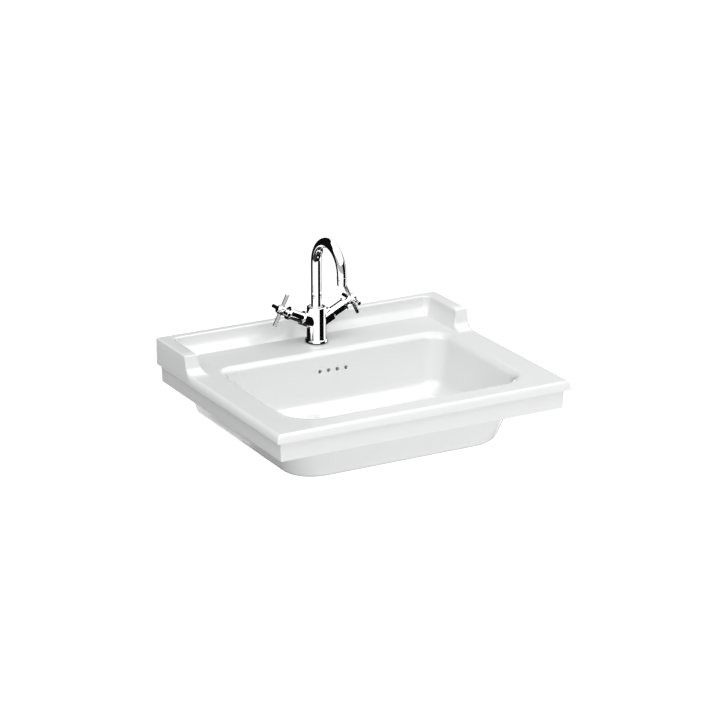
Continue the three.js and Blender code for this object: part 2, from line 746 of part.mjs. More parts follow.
function spoutStem() {
  const bore = STEM_BORE / 2;
  const spigot = tubeBore / 2 - GAP;
  const half = O_RING / 2 + GAP;
  const profile = [[bore, seatBottom + GAP]];
  profile.push([seatRadius, seatBottom + GAP]);
  for (const height of ringHeights) {
    profile.push([seatRadius, height - half], [grooveRadius, height - half]);
    profile.push([grooveRadius, height + half], [seatRadius, height + half]);
  }
  profile.push([seatRadius, spoutStart], [spigot, spoutStart]);
  profile.push([spigot, spoutStart + STEM_SPIGOT], [bore, spoutStart + STEM_SPIGOT]);
  profile.push([bore, seatBottom + GAP]);
  return turned(profile);
}

function nozzle() {
  const outer = SPOUT_TUBE / 2 - NOZZLE_SET_IN;
  const mouth = outer - NOZZLE_TAPER;
  const bore = tubeBore / 2 - NOZZLE_WALL;
  const ledge = bore - NOZZLE_LEDGE_WIDTH;
  const spigot = tubeBore / 2 - 2 * GAP; // the arch has begun to bend above the tip
  const profile = [
    [bore, spoutTip],
    [mouth - NOZZLE_LIP, spoutTip],
    [mouth, spoutTip + NOZZLE_LIP],
    [outer, nozzleTop - NOZZLE_BAND],
    [outer, nozzleTop],
    [spigot, nozzleTop],
    [spigot, nozzleTop + NOZZLE_SPIGOT],
    [ledge, nozzleTop + NOZZLE_SPIGOT],
    [ledge, nozzleTop - NOZZLE_LEDGE],
    [bore, nozzleTop - NOZZLE_LEDGE],
    [bore, spoutTip],
  ];
  return turned(profile, SMALL_ROUND);
}

addPiece("spout", spoutTube(), "chrome", tap);
addPiece("spout_stem", spoutStem(), "brass", tap);
ringHeights.forEach((height, i) => {
  const middle = 2 * grooveRadius + O_RING + GAP;
  addPiece(["spout_o_ring_lower", "spout_o_ring_upper"][i], oRing(middle, O_RING, height), "rubber", tap);
});
const bushBore = SPOUT_TUBE + 2 * GAP;
const bush = ring(spoutBore - 2 * GAP, bushBore, spoutStart + GAP, tapTop - GAP);
addPiece("spout_bush", bush, "white_plastic", tap);
const grubEnd = TAP_BODY / 2 - GRUB_SET_IN;
const grub = rod(GRUB_SCREW, spoutBore / 2 + GAP, grubEnd, TINY_ROUND).rotateX(-Math.PI / 2);
addPiece("spout_grub_screw", grub.translate(0, 0, grubHeight), "steel", tap);

const spoutEnd = new THREE.Group();
spoutEnd.position.set(0, -2 * SPOUT_RADIUS, 0);
tap.add(spoutEnd);
addPiece("aerator_housing", nozzle(), "chrome", spoutEnd);
const insertWidth = tubeBore - 2 * (NOZZLE_WALL + GAP);
const insertBottom = spoutTip + INSERT_SET_IN;
const insert = ring(insertWidth, INSERT_BORE, insertBottom, insertBottom + INSERT_HEIGHT, SMALL_ROUND);
addPiece("aerator_insert", insert, "black_plastic", spoutEnd);

// ---- Valves and handles -------------------------------------------------------------------------------

// The chromed sleeve over a valve: stepped, and saddled onto the round body.
function valveSleeve(frame) {
  const bore = sleeveBore / 2;
  const root = bore + SLEEVE_ROOT_WALL;
  const outer = bore + SLEEVE_WALL;
  const shape = turned([
    [bore, cartridgeStart],
    [root, cartridgeStart],
    [root, sleeveRootEnd - SLEEVE_EDGE],
    [root - SLEEVE_EDGE, sleeveRootEnd],
    [outer, sleeveRootEnd],
    [outer, sleeveEnd],
    [bore, sleeveEnd],
    [bore, cartridgeStart],
  ]);
  const saddle = rod(TAP_BODY + 2 * GAP, -tapTop, 2 * tapTop);
  saddle.applyMatrix4(frame.matrix.clone().invert());
  const made = cut(solid(shape), solid(saddle));
  return surface(made);
}

function cartridge() {
  const outer = CARTRIDGE / 2;
  const bore = SPINDLE / 2 + GAP;
  const waterWay = CARTRIDGE_WATERWAY / 2;
  return turned([
    [waterWay, cartridgeStart],
    [outer, cartridgeStart],
    [outer, cartridgeEnd],
    [bore, cartridgeEnd],
    [bore, spindleStart - GAP],
    [waterWay, spindleStart - GAP],
    [waterWay, cartridgeStart],
  ]);
}

function collar() {
  const bottom = sleeveEnd + GAP;
  const top = bottom + COLLAR_THICK;
  const outer = sleeveBore / 2 + SLEEVE_WALL + COLLAR_LIP;
  const bore = SPINDLE / 2 + GAP;
  return turned([
    [bore, bottom],
    [outer, bottom],
    [outer, top - SLEEVE_EDGE],
    [outer - SLEEVE_EDGE, top],
    [bore, top],
    [bore, bottom],
  ]);
}

function spindle() {
  const shaft = bevelledRod(SPINDLE, spindleStart, spindleEnd, SPINDLE_EDGE, SMALL_ROUND);
  const tapped = rod(HANDLE_SCREW + 2 * GAP, screwTip - GAP, spindleEnd + CUT, TINY_ROUND);
  return surface(cut(solid(shaft), solid(tapped)));
}

const capSeat = hubEnd - CAP_PLUG_LENGTH;
const armTurns = [0, 90, 180, 270];
const armRoot = HUB / 2;

// Places +Z along an arm, at the hub.
function armFrame(turn) {
  const place = new THREE.Matrix4().makeRotationZ(turn * deg);
  place.multiply(new THREE.Matrix4().makeRotationY(Math.PI / 2));
  place.setPosition(0, 0, armsAt);
  return place;
}

function hub() {
  const neck = HUB_NECK / 2;
  const outer = HUB / 2;
  const shape = turned([
    [0, hubStart],
    [neck, hubStart],
    [neck, hubNeckEnd],
    [outer - HUB_EDGE, hubNeckEnd],
    [outer, hubNeckEnd + HUB_EDGE],
    [outer, hubEnd - HUB_EDGE],
    [outer - HUB_EDGE, hubEnd],
    [0, hubEnd],
  ]);
  const spindleSocket = rod(SPINDLE + 2 * GAP, hubStart - CUT, spindleEnd + GAP, SMALL_ROUND);
  const screwWay = rod(HANDLE_SCREW + 2 * GAP, spindleEnd, hubEnd, TINY_ROUND);
  const capSocket = rod(CAP_PLUG + 2 * GAP, screwSeat, hubEnd + CUT, SMALL_ROUND);
  const armSockets = armTurns.map((turn) =>
    rod(ARM_SPIGOT + 2 * GAP, armRoot - ARM_SPIGOT_DEPTH - GAP, HUB, TINY_ROUND).applyMatrix4(armFrame(turn)),
  );
  const tools = [spindleSocket, screwWay, capSocket, ...armSockets];
  return surface(cut(solid(shape), ...tools.map(solid)));
}

function arm(turn) {
  const radius = ARM / 2;
  const spigot = ARM_SPIGOT / 2;
  const start = armRoot + GAP;
  const tip = ARM_SPAN / 2;
  const shape = turned(
    [
      [0, armRoot - ARM_SPIGOT_DEPTH],
      [spigot, armRoot - ARM_SPIGOT_DEPTH],
      [spigot, start],
      [radius, start],
      [radius, tip - ARM_EDGE],
      [radius - ARM_EDGE, tip],
      [0, tip],
    ],
    SMALL_ROUND,
  );
  return shape.applyMatrix4(armFrame(turn));
}

function handleScrew() {
  const head = HANDLE_SCREW_HEAD / 2;
  const shank = HANDLE_SCREW / 2;
  const seat = screwSeat + GAP;
  const profile = [[0, screwTip], [shank, screwTip], [shank, seat], [head, seat]];
  profile.push([head, seat + HANDLE_SCREW_HEAD_HEIGHT], [0, seat + HANDLE_SCREW_HEAD_HEIGHT]);
  return turned(profile, TINY_ROUND);
}

function indexCap() {
  const plug = CAP_PLUG / 2;
  const outer = HUB / 2 - HUB_EDGE;
  const seat = hubEnd + GAP;
  return turned(
    [
      [0, capSeat],
      [plug, capSeat],
      [plug, seat],
      [outer, seat],
      ...CAP_CROWN.map(([width, rise]) => [outer * width, seat + CAP_HEIGHT * rise]),
    ],
    SMALL_ROUND,
  );
}

for (const [name, side] of [["hot", -1], ["cold", 1]]) {
  const frame = valveFrame(side);
  tap.add(frame);
  addPiece(`${name}_valve_sleeve`, valveSleeve(frame), "chrome", frame);
  addPiece(`${name}_cartridge`, cartridge(), "brass", frame);
  addPiece(`${name}_collar`, collar(), "chrome", frame);
  addPiece(`${name}_spindle`, spindle(), "brass", frame);
  addPiece(`${name}_handle_hub`, hub(), "chrome", frame);
  armTurns.forEach((turn, i) => addPiece(`${name}_handle_arm_${i + 1}`, arm(turn), "chrome", frame));
  addPiece(`${name}_handle_screw`, handleScrew(), "steel", frame);
  addPiece(`${name}_index_cap`, indexCap(), "chrome", frame);
}

// ---- Tap fixings under the deck -----------------------------------------------------------------------

function horseshoe(bottom, thick) {
  const plate = rod(horseshoeWidth, bottom, bottom + thick);
  const slotDepth = HORSESHOE_SLOT / 2;
  const through = [bottom - CUT, bottom + thick + CUT];
  const slotRound = rod(HORSESHOE_SLOT, ...through).translate(0, slotDepth, 0);
  const slotSides = block([-slotDepth, slotDepth], [slotDepth, horseshoeWidth], through);
  const studHole = rod(STUD + 2 * GAP, ...through, SMALL_ROUND);
  studHole.translate(0, -STUD_SET_FORWARD, 0);
  return surface(cut(solid(plate), solid(slotRound), solid(slotSides), solid(studHole)));
}

const rubberBottom = -(DECK_THICK + GAP + HORSESHOE_RUBBER);
const metalBottom = rubberBottom - GAP - HORSESHOE_METAL;
const nutTop = metalBottom - GAP;
const stud = bevelledRod(STUD, -STUD_END, bodyBottom + STUD_IN_BODY, STUD_EDGE, SMALL_ROUND);
addPiece("tap_stud", stud.translate(0, -STUD_SET_FORWARD, 0), "steel", tap);
addPiece("horseshoe_gasket", horseshoe(rubberBottom, HORSESHOE_RUBBER), "rubber", tap);
addPiece("horseshoe_washer", horseshoe(metalBottom, HORSESHOE_METAL), "steel", tap);

function studNut() {
  const acrossCorners = STUD_NUT / Math.cos(Math.PI / STUD_NUT_SIDES);
  const hexagon = rod(acrossCorners, nutTop - STUD_NUT_HEIGHT, nutTop, STUD_NUT_SIDES);
  const thread = rod(STUD + 2 * GAP, nutTop - STUD_NUT_HEIGHT - CUT, nutTop + CUT, SMALL_ROUND);
  return surface(cut(solid(hexagon), solid(thread)));
}

addPiece("tap_stud_nut", studNut().translate(0, -STUD_SET_FORWARD, 0), "brass", tap);

// ---- Waste --------------------------------------------------------------------------------------------

const waste = new THREE.Group();
waste.position.set(0, outletY, 0);
part.add(waste);

const wasteBore = WASTE_TUBE - 2 * WASTE_WALL;

// The flanged tube through the outlet, with overflow slots and a web that carries the latch housing.
function wasteBody() {
  const tube = turned([
    [wasteBore / 2, wasteEnd],
    [WASTE_TUBE / 2, wasteEnd],
    [WASTE_TUBE / 2, flangeBottom],
    [WASTE_FLANGE / 2, flangeBottom],
    [WASTE_FLANGE / 2, flangeTop - WASTE_FLANGE_EDGE],
    [WASTE_FLANGE / 2 - WASTE_FLANGE_EDGE, flangeTop],
    [wasteBore / 2 + WASTE_MOUTH, flangeTop],
    [wasteBore / 2, flangeTop - WASTE_MOUTH],
    [wasteBore / 2, wasteEnd],
  ]);
  const reach = WASTE_TUBE;
  const slot = block([-WASTE_SLOT / 2, WASTE_SLOT / 2], [-reach, reach], [drainBottom, drainTop]);
  const webTop = carrierBottom - GAP;
  const half = CARRIER_WEB_WIDTH / 2;
  const across = wasteBore / 2 + WASTE_WALL / 2;
  const web = [
    rod(CARRIER, webTop - CARRIER_WEB, webTop, SMALL_ROUND),
    block([-across, across], [-half, half], [webTop - CARRIER_WEB, webTop]),
    block([-half, half], [-across, across], [webTop - CARRIER_WEB, webTop]),
  ];
  return surface(join(cut(solid(tube), solid(slot)), ...web.map(solid)));
}

addPiece("waste_body", wasteBody(), "chrome", waste);
const topSealOuter = WASTE_FLANGE - 2 * WASTE_SEAL_SET_IN;
const topSealBore = outletBore + 2 * WASTE_SEAL_SET_OUT;
const topSeal = ring(topSealOuter, topSealBore, recessFloor + GAP, flangeBottom - GAP);
addPiece("waste_top_seal", topSeal, "rubber", waste);

const sealTop = tubBottom - GAP;
const sealBottom = sealTop - LOWER_SEAL_THICK;
const threadClear = WASTE_TUBE + 2 * GAP;
const lowerSeal = ring(outletBore + 2 * LOWER_SEAL_LAP, threadClear, sealBottom, sealTop);
addPiece("waste_lower_seal", lowerSeal, "rubber", waste);

function backNut() {
  const top = sealBottom - GAP;
  const bottom = top - BACKNUT_HEIGHT;
  const flats = rod(threadClear + 2 * BACKNUT_WALL, bottom, top, BACKNUT_SIDES);
  return surface(cut(solid(flats), solid(rod(threadClear, bottom - CUT, top + CUT))));
}

addPiece("waste_backnut", backNut(), "chrome", waste);

function latchHousing() {
  const bore = CARRIER_BORE / 2;
  const floor = carrierBottom + CARRIER_FLOOR;
  return turned(
    [
      [0, carrierBottom],
      [CARRIER / 2, carrierBottom],
      [CARRIER / 2, carrierTop],
      [bore, carrierTop],
      [bore, floor],
      [0, floor],
    ],
    SMALL_ROUND,
  );
}

addPiece("plug_latch_housing", latchHousing(), "white_plastic", waste);

const stemTop = plugBottom - GAP;
const tipTop = stemTop + PLUG_THICK / 2;

function plugStem() {
  const radius = PLUG_STEM / 2;
  const tip = PLUG_TIP / 2;
  const profile = [[0, stemBottom], [radius, stemBottom], [radius, stemTop]];
  profile.push([tip, stemTop], [tip, tipTop], [0, tipTop]);
  return turned(profile, SMALL_ROUND);
}

addPiece("plug_stem", plugStem(), "white_plastic", waste);

// The crowned cap, with a socket for the stem's tip. Its seal lies under its rim.
function plugCap() {
  const radius = plugWidth / 2;
  const top = plugBottom + PLUG_THICK;
  const socket = PLUG_TIP / 2 + GAP;
  const socketTop = tipTop + GAP;
  return turned([
    [0, socketTop],
    [socket, socketTop],
    [socket, plugBottom],
    [radius, plugBottom],
    [radius, top - PLUG_EDGE],
    [radius - PLUG_EDGE, top],
    ...PLUG_DOME.map(([width, rise]) => [radius * width, top + PLUG_CROWN * rise]),
  ]);
}

addPiece("plug_cap", plugCap(), "chrome", waste);
const sealHeight = plugBottom - GAP - PLUG_SEAL / 2;
addPiece("plug_seal", oRing(plugWidth - 2 * PLUG_SEAL, PLUG_SEAL, sealHeight), "rubber", waste);

// The plug's return spring, as a coil of plain wire.
class Coil extends THREE.Curve {
  getPoint(t) {
    const radius = CARRIER_BORE / 2 - SPRING_WIRE / 2 - 2 * GAP;
    const low = carrierBottom + CARRIER_FLOOR + GAP + SPRING_WIRE;
    const high = stemBottom - GAP - SPRING_WIRE;
    const turn = t * SPRING_TURNS * 2 * Math.PI;
    return new THREE.Vector3(radius * Math.cos(turn), radius * Math.sin(turn), low + (high - low) * t);
  }
}

const wire = new THREE.Shape().absarc(0, 0, SPRING_WIRE / 2, 0, 2 * Math.PI);
const spring = new THREE.ExtrudeGeometry(wire, {
  steps: SPRING_TURNS * SPRING_STEPS,
  curveSegments: SPRING_FACETS,
  extrudePath: new Coil(),
  bevelEnabled: false,
});
addPiece("plug_spring", spring, "steel", waste);

export default part;
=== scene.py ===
import json
import math

import bmesh
import bpy
from mathutils import Matrix, Vector


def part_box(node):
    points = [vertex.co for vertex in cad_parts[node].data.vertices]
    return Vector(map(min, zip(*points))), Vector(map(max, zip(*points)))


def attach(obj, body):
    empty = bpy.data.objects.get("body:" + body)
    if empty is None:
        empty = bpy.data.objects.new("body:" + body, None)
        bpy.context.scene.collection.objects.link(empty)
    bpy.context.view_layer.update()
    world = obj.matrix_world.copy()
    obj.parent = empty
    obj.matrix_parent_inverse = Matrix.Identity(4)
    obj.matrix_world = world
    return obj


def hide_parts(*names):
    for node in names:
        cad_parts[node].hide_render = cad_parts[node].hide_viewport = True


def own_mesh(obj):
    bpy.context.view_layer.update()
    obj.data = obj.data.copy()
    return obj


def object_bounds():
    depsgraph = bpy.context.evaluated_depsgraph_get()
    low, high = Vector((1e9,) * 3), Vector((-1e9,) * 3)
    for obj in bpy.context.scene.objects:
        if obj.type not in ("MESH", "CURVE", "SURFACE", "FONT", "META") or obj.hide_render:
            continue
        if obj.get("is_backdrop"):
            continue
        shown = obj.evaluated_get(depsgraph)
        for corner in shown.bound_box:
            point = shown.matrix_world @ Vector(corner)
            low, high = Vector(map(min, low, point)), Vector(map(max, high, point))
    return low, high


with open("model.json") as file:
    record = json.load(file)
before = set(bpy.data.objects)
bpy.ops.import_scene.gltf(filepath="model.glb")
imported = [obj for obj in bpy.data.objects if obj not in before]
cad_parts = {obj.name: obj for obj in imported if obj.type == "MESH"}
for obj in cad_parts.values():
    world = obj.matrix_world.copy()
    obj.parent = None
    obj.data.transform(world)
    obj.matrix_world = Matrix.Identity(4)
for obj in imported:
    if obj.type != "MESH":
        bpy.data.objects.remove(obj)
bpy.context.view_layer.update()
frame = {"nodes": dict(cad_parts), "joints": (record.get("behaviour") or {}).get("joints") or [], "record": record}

# ---- Camera --------------------------------------------------------------------------------------
# The basin is looked down on from its left front corner, from far enough away for the long
# edges to stay nearly parallel. It aims a little to the right of the tap, just under the deck.

MM = 0.001
aim = Vector((102, -77, -57)) * MM
view_turn, view_rise, view_distance = -28.78, 18.82, 5.93


def towards(turn, rise):
    """The way out to something that stands so many degrees to the right of the front, and up."""
    turn, rise = math.radians(turn), math.radians(rise)
    level = math.cos(rise)
    return Vector((math.sin(turn) * level, -math.cos(turn) * level, math.sin(rise)))


lens = bpy.data.cameras.new("studio_camera")
lens.lens = 143.07
lens.sensor_width = 36
lens.clip_end = 60
camera = bpy.data.objects.new("studio_camera", lens)
bpy.context.scene.collection.objects.link(camera)
away = towards(view_turn, view_rise)
camera.location = aim + away * view_distance
camera.rotation_euler = (-away).to_track_quat("-Z", "Y").to_euler()
bpy.context.scene.camera = camera

# ---- Room ----------------------------------------------------------------------------------------
# A pale floor well below the hung basin, a wide soft light above its front and a weaker one from
# the left. Dark boards that only reflections show give polished metal its bands, and grey flags
# under the basin cut the light that the floor throws up.


class Wire:
    """One value running through a shader. The sums between wires become its maths nodes."""

    def __init__(self, finish, socket):
        self.finish = finish
        self.socket = socket

    def maths(self, operation, first, second):
        return self.finish.node("Math", {"operation": operation}, {0: first, 1: second})

    def __add__(self, other):
        return self.maths("ADD", self, other)

    def __radd__(self, other):
        return self.maths("ADD", other, self)

    def __mul__(self, other):
        return self.maths("MULTIPLY", self, other)

    def __rmul__(self, other):
        return self.maths("MULTIPLY", other, self)


class Finish:
    """The shader of one procedural finish, and the nodes that feed it."""

    def __init__(self, name):
        self.material = bpy.data.materials.new(name)
        self.material.use_nodes = True
        self.tree = self.material.node_tree
        self.shader = self.tree.nodes["Principled BSDF"]
        self.place = self.node("TexCoord", out=3)

    def node(self, kind, settings=None, sockets=None, out=0):
        made = self.tree.nodes.new("ShaderNode" + kind)
        for key, value in (settings or {}).items():
            if key != "stops":
                setattr(made, key, value)
                continue
            while len(made.color_ramp.elements) < len(value):
                made.color_ramp.elements.new(1)
            for stop, (where, shade) in zip(made.color_ramp.elements, value):
                stop.position = where
                stop.color = (shade, shade, shade, 1)
        for key, value in (sockets or {}).items():
            self.feed(made.inputs[key], value)
        return Wire(self, made.outputs[out])

    def feed(self, socket, value):
        if isinstance(value, Wire):
            self.tree.links.new(value.socket, socket)
        else:
            socket.default_value = value

    def surface(self, **values):
        for name, value in values.items():
            self.feed(self.shader.inputs[name.replace("_", " ")], value)

    def noise(self, scale, detail=3):
        return self.node("TexNoise", {}, {"Vector": self.place, "Scale": scale, "Detail": detail})

    def ramp(self, value, *stops):
        return self.node("ValToRGB", {"stops": stops}, {0: value})

    def blend(self, amount, first, second):
        first = (*first, 1) if isinstance(first, tuple) else first
        sockets = {0: amount, 6: first, 7: (*second, 1)}
        return self.node("Mix", {"data_type": "RGBA"}, sockets, out=2)

    def bump(self, height, depth):
        return self.node("Bump", {}, {"Strength": 1.0, "Distance": depth, "Height": height})


def studio_paint(name, shade, glow=0.0):
    paint = Finish(name)
    cloud = paint.noise(1.3)
    light = (shade, shade, shade)
    paint.surface(Base_Color=paint.blend(cloud, light, tuple(0.985 * part for part in light)))
    paint.surface(Roughness=0.9, Specular_IOR_Level=0.0)
    if glow:
        paint.surface(Emission_Color=(1, 1, 1, 1), Emission_Strength=glow)
    return paint.material


def board(name, middle, width, height, facing, material):
    sheet = bmesh.new()
    for x, y in ((-1, -1), (1, -1), (1, 1), (-1, 1)):
        sheet.verts.new((x * width / 2, y * height / 2, 0))
    sheet.faces.new(sheet.verts)
    mesh = bpy.data.meshes.new(name)
    sheet.to_mesh(mesh)
    sheet.free()
    stood = bpy.data.objects.new(name, mesh)
    stood.location = middle
    stood.rotation_euler = Vector(facing).to_track_quat("Z", "Y").to_euler()
    mesh.materials.append(material)
    bpy.context.scene.collection.objects.link(stood)
    stood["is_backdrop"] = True
    return stood


upwards, downwards = (0, 0, 1), (0, 0, -1)
floor_paint = studio_paint("pale_floor", 0.5, glow=0.95)
board("floor", (0, 0, -1.5), 60, 60, upwards, floor_paint)

dark_paint = studio_paint("dark_board", 0.004)
white_paint = studio_paint("white_board", 0.9, glow=0.95)


def only_reflected(stood):
    for ray in ("camera", "diffuse", "shadow", "transmission"):
        setattr(stood, f"visible_{ray}", False)


tap_low, tap_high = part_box("tap_body")
tap_axis = Vector(((tap_low.x + tap_high.x) / 2, (tap_low.y + tap_high.y) / 2, 0))
for turned_by, width, height, distance, lift in (
    (66, 2.4, 2.4, 2.1, 0.1),
    (150, 1.3, 1.8, 2.2, -0.45),
    (-130, 5.2, 5.2, 2.2, 1.4),
):
    out = towards(view_turn + turned_by, 0)
    middle = tap_axis + out * distance + Vector((0, 0, lift))
    only_reflected(board("dark_board", middle, width, height, -out, dark_paint))
below_tap = tap_axis + Vector((-0.2, -0.35, -0.7))
only_reflected(board("dark_board", below_tap, 2.4, 2.2, upwards, dark_paint))
only_reflected(board("overhead_board", (0, -0.5, 4.5), 16, 16, downwards, white_paint))

grey_paint = studio_paint("grey_board", 0.05)
for x, y, width, height in ((-0.95, -0.1, 1.2, 1.3), (0, 0, 0.7, 0.7)):
    flag = board("grey_flag", (x, y, -0.5), width, height, upwards, grey_paint)
    flag.visible_camera = False


def softbox(name, bearing, rise, distance, size, power):
    lamp = bpy.data.lights.new(name, "AREA")
    lamp.size = size
    lamp.energy = power
    out = towards(bearing, rise)
    stood = bpy.data.objects.new(name, lamp)
    stood.location = out * distance
    stood.rotation_euler = out.to_track_quat("Z", "Y").to_euler()
    bpy.context.scene.collection.objects.link(stood)


softbox("key_softbox", 10, 58, 4.0, 3.4, 68)
softbox("side_softbox", -72, 52, 3.6, 2.4, 34)

sky = bpy.data.worlds.new("studio_air")
sky.use_nodes = True
sky.node_tree.nodes["Background"].inputs["Color"].default_value = (1, 1, 1, 1)
sky.node_tree.nodes["Background"].inputs["Strength"].default_value = 0.52
bpy.context.scene.world = sky
bpy.context.scene.view_settings.view_transform = "Standard"

# ---- Basin ---------------------------------------------------------------------------------------
# One casting of white vitreous china, slip-cast in a plaster mould, glazed all over except for the
# flat back that goes to the wall and the pocket behind the bowl. Its walls are about 13 mm thick.


def reach(node):
    """A node's lowest and highest corners, in millimetres."""
    return [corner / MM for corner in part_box(node)]


basin_low, basin_high = reach("basin")
half_width = basin_high.x
basin_front = basin_low.y
tub_bottom = basin_low.z
upstand_top = basin_high.z

# The edge: a quarter-round nose, a cove under it, and the fascia.
nose_out = 8
nose_height = 16
nose_undercut = 2.5
cove_inset = 10
cove_height = 6
fascia_bottom = -58
fascia_inset = 11.5
skirt_wall = 13
deck_thick = 20
back_wall = 14

# The upstand along the wall, and a wing down each side of it.
back_top, back_foot = 15, 22
wing_top, wing_foot = 25, 15
wing_end, wing_nose, wing_sweep = -134, 13, 30
crest_round = 3.0

# The bowl and the tub around it.
bowl_half = half_width - 58
bowl_front = basin_front + 43
bowl_back = -130
bowl_corners = (66, 44)
rim_radius = 15
draft = math.radians(12)
bowl_depth = 116
floor_fall = 6
floor_fillet = 35
front_lean = 21
tub_half = half_width - 91
tub_front = basin_front + 99
tub_slope = math.tan(math.radians(17))
tub_corner = 60
tub_edge = 14
outlet_low, outlet_high = reach("waste_body")
outlet_y = (outlet_low.y + outlet_high.y) / 2
outlet_radius = 23
recess_radius = 32.8

corner_steps = 14
side_steps = 26


def eased(value):
    value = min(max(value, 0.0), 1.0)
    return value * value * (3 - 2 * value)


def curve_points(start, pull, end, steps):
    for step in range(steps + 1):
        t = step / steps
        shares = (1 - t) ** 2, 2 * t * (1 - t), t * t
        yield tuple(
            shares[0] * a + shares[1] * b + shares[2] * c for a, b, c in zip(start, pull, end)
        )


# A wing's end from the side, as (y, height): a sweep off the deck, then a steep face.
sweep_start = wing_end - wing_nose
steep_foot = (sweep_start + wing_nose / 2, upstand_top * 0.3)
steep_head = (wing_end, upstand_top - 4)
wing_outline = [
    *curve_points((sweep_start - wing_sweep, 0), (sweep_start, 0), steep_foot, 12),
    *list(curve_points(steep_foot, (wing_end - 1, upstand_top * 0.7), steep_head, 9))[1:],
    *list(curve_points(steep_head, (wing_end, upstand_top), (wing_end + 4, upstand_top), 5))[1:],
]
front_run = [-480 + 20 * step for step in range(16)]
back_run = [-124, -110, -95, -80, -65, -50]
unlimited = 10 * upstand_top
side_places = [*[(y, 0.0) for y in front_run if y < wing_outline[0][0] - 4], *wing_outline]
side_places += [(y, unlimited) for y in back_run]
side_start, side_length = -520, 500
side_shares = [0, *[(y - side_start) / side_length for y, _ in side_places], 1]


def outline(half, front, back, front_corner, back_corner, fixed=False):
    """One level ring round the basin, anticlockwise from the left end of the front."""
    ys = [y for y, _ in side_places] if fixed else None
    low, high = front + front_corner, back - back_corner
    side = [low, *ys, high] if fixed else [low + (high - low) * share for share in side_shares]
    points = []

    def arc(x, y, radius, start):
        for step in range(1, corner_steps):
            turn = math.radians(start + 90 * step / corner_steps)
            points.append((x + radius * math.cos(turn), y + radius * math.sin(turn)))

    def level(x_start, x_end, y):
        for step in range(side_steps + 1):
            points.append((x_start + (x_end - x_start) * step / side_steps, y))

    level(front_corner - half, half - front_corner, front)
    arc(half - front_corner, low, front_corner, -90)
    points.extend((half, y) for y in side)
    arc(half - back_corner, high, back_corner, 0)
    level(half - back_corner, back_corner - half, back)
    arc(back_corner - half, high, back_corner, 90)
    points.extend((-half, y) for y in reversed(side))
    arc(front_corner - half, low, front_corner, 180)
    return points


# How high the wing lets the surface rise in each column of the ring.
front_columns = side_steps + 1 + corner_steps - 1
ceiling = [0.0] * front_columns
ceiling += [0.0, *[height for _, height in side_places], unlimited]
ceiling += [unlimited] * (2 * (corner_steps - 1) + side_steps + 1)
ceiling += [unlimited, *[height for _, height in reversed(side_places)], 0.0]
ceiling += [0.0] * (corner_steps - 1)


def lower_of(first, second, rounding=5.0):
    overlap = max(rounding - abs(first - second), 0) / rounding
    return max(min(first, second) - overlap * overlap * rounding / 4, 0)


def flat(points, z):
    return [(x, y, z) for x, y in points]


def between(first, second, share):
    return [tuple(a + (b - a) * share for a, b in zip(p, q)) for p, q in zip(first, second)]


def lean(z):
    return front_lean * eased((-z - rim_radius) / (-fascia_bottom - rim_radius))


def bowl_ring(inset, z):
    front = bowl_front + inset + lean(z)
    corners = [corner - 0.3 * inset for corner in bowl_corners]
    return flat(outline(bowl_half - inset, front, bowl_back - inset, *corners), z)


def round_ring(radius, z, like):
    ring = []
    for x, y, _ in like:
        length = math.hypot(x, y - outlet_y)
        ring.append((x * radius / length, outlet_y + (y - outlet_y) * radius / length, z))
    return ring


wall_top = math.pi / 2 - draft
rim_foot = (rim_radius * math.sin(wall_top), -rim_radius * (1 - math.cos(wall_top)))
fillet_centre = floor_fillet - bowl_depth
wall_foot = fillet_centre - floor_fillet * math.sin(draft)
foot_inset = rim_foot[0] + (rim_foot[1] - wall_foot) * math.tan(draft)
fillet_inset = foot_inset + floor_fillet * math.cos(draft)

floor_ring = bowl_ring(fillet_inset, -bowl_depth)
floor_centre = -(bowl_depth + floor_fall)
rings = []
for radius, drop in (
    (outlet_radius, -23),
    (outlet_radius, -5.5),
    (outlet_radius + 1, -4),
    (recess_radius - 1, -4),
    (recess_radius, -3),
    (recess_radius, -1.2),
    (recess_radius + 0.4, -0.35),
    (recess_radius + 1.4, 0),
):
    rings.append(round_ring(radius, floor_centre + drop, floor_ring))
recess_edge = rings[-1]
for share in (0.12, 0.3, 0.5, 0.7, 0.86, 0.96):
    rings.append(between(recess_edge, floor_ring, share))
for step in range(13):
    turn = math.pi / 2 - (math.pi / 2 - draft) * step / 12
    inset = fillet_inset - floor_fillet * math.cos(turn)
    rings.append(bowl_ring(inset, fillet_centre - floor_fillet * math.sin(turn)))
for step in range(1, 12):
    z = wall_foot + (rim_foot[1] - wall_foot) * step / 12
    rings.append(bowl_ring(rim_foot[0] + (rim_foot[1] - z) * math.tan(draft), z))
for step in range(11):
    turn = wall_top * (1 - step / 10)
    rings.append(bowl_ring(rim_radius * math.sin(turn), -rim_radius * (1 - math.cos(turn))))

foot_half = half_width - wing_top - wing_foot
foot_front, crest_front = basin_front + 37, basin_front + 13
foot_corner, crest_corner, inner_corner = 12, 3, 3
rim_ring = rings[-1]
foot_sizes = foot_half, foot_front, -(back_top + back_foot), foot_corner, inner_corner
foot_ring = flat(outline(*foot_sizes, fixed=True), 0)
rings += [between(rim_ring, foot_ring, share) for share in (0.05, 0.25, 0.5, 0.75, 0.95)]

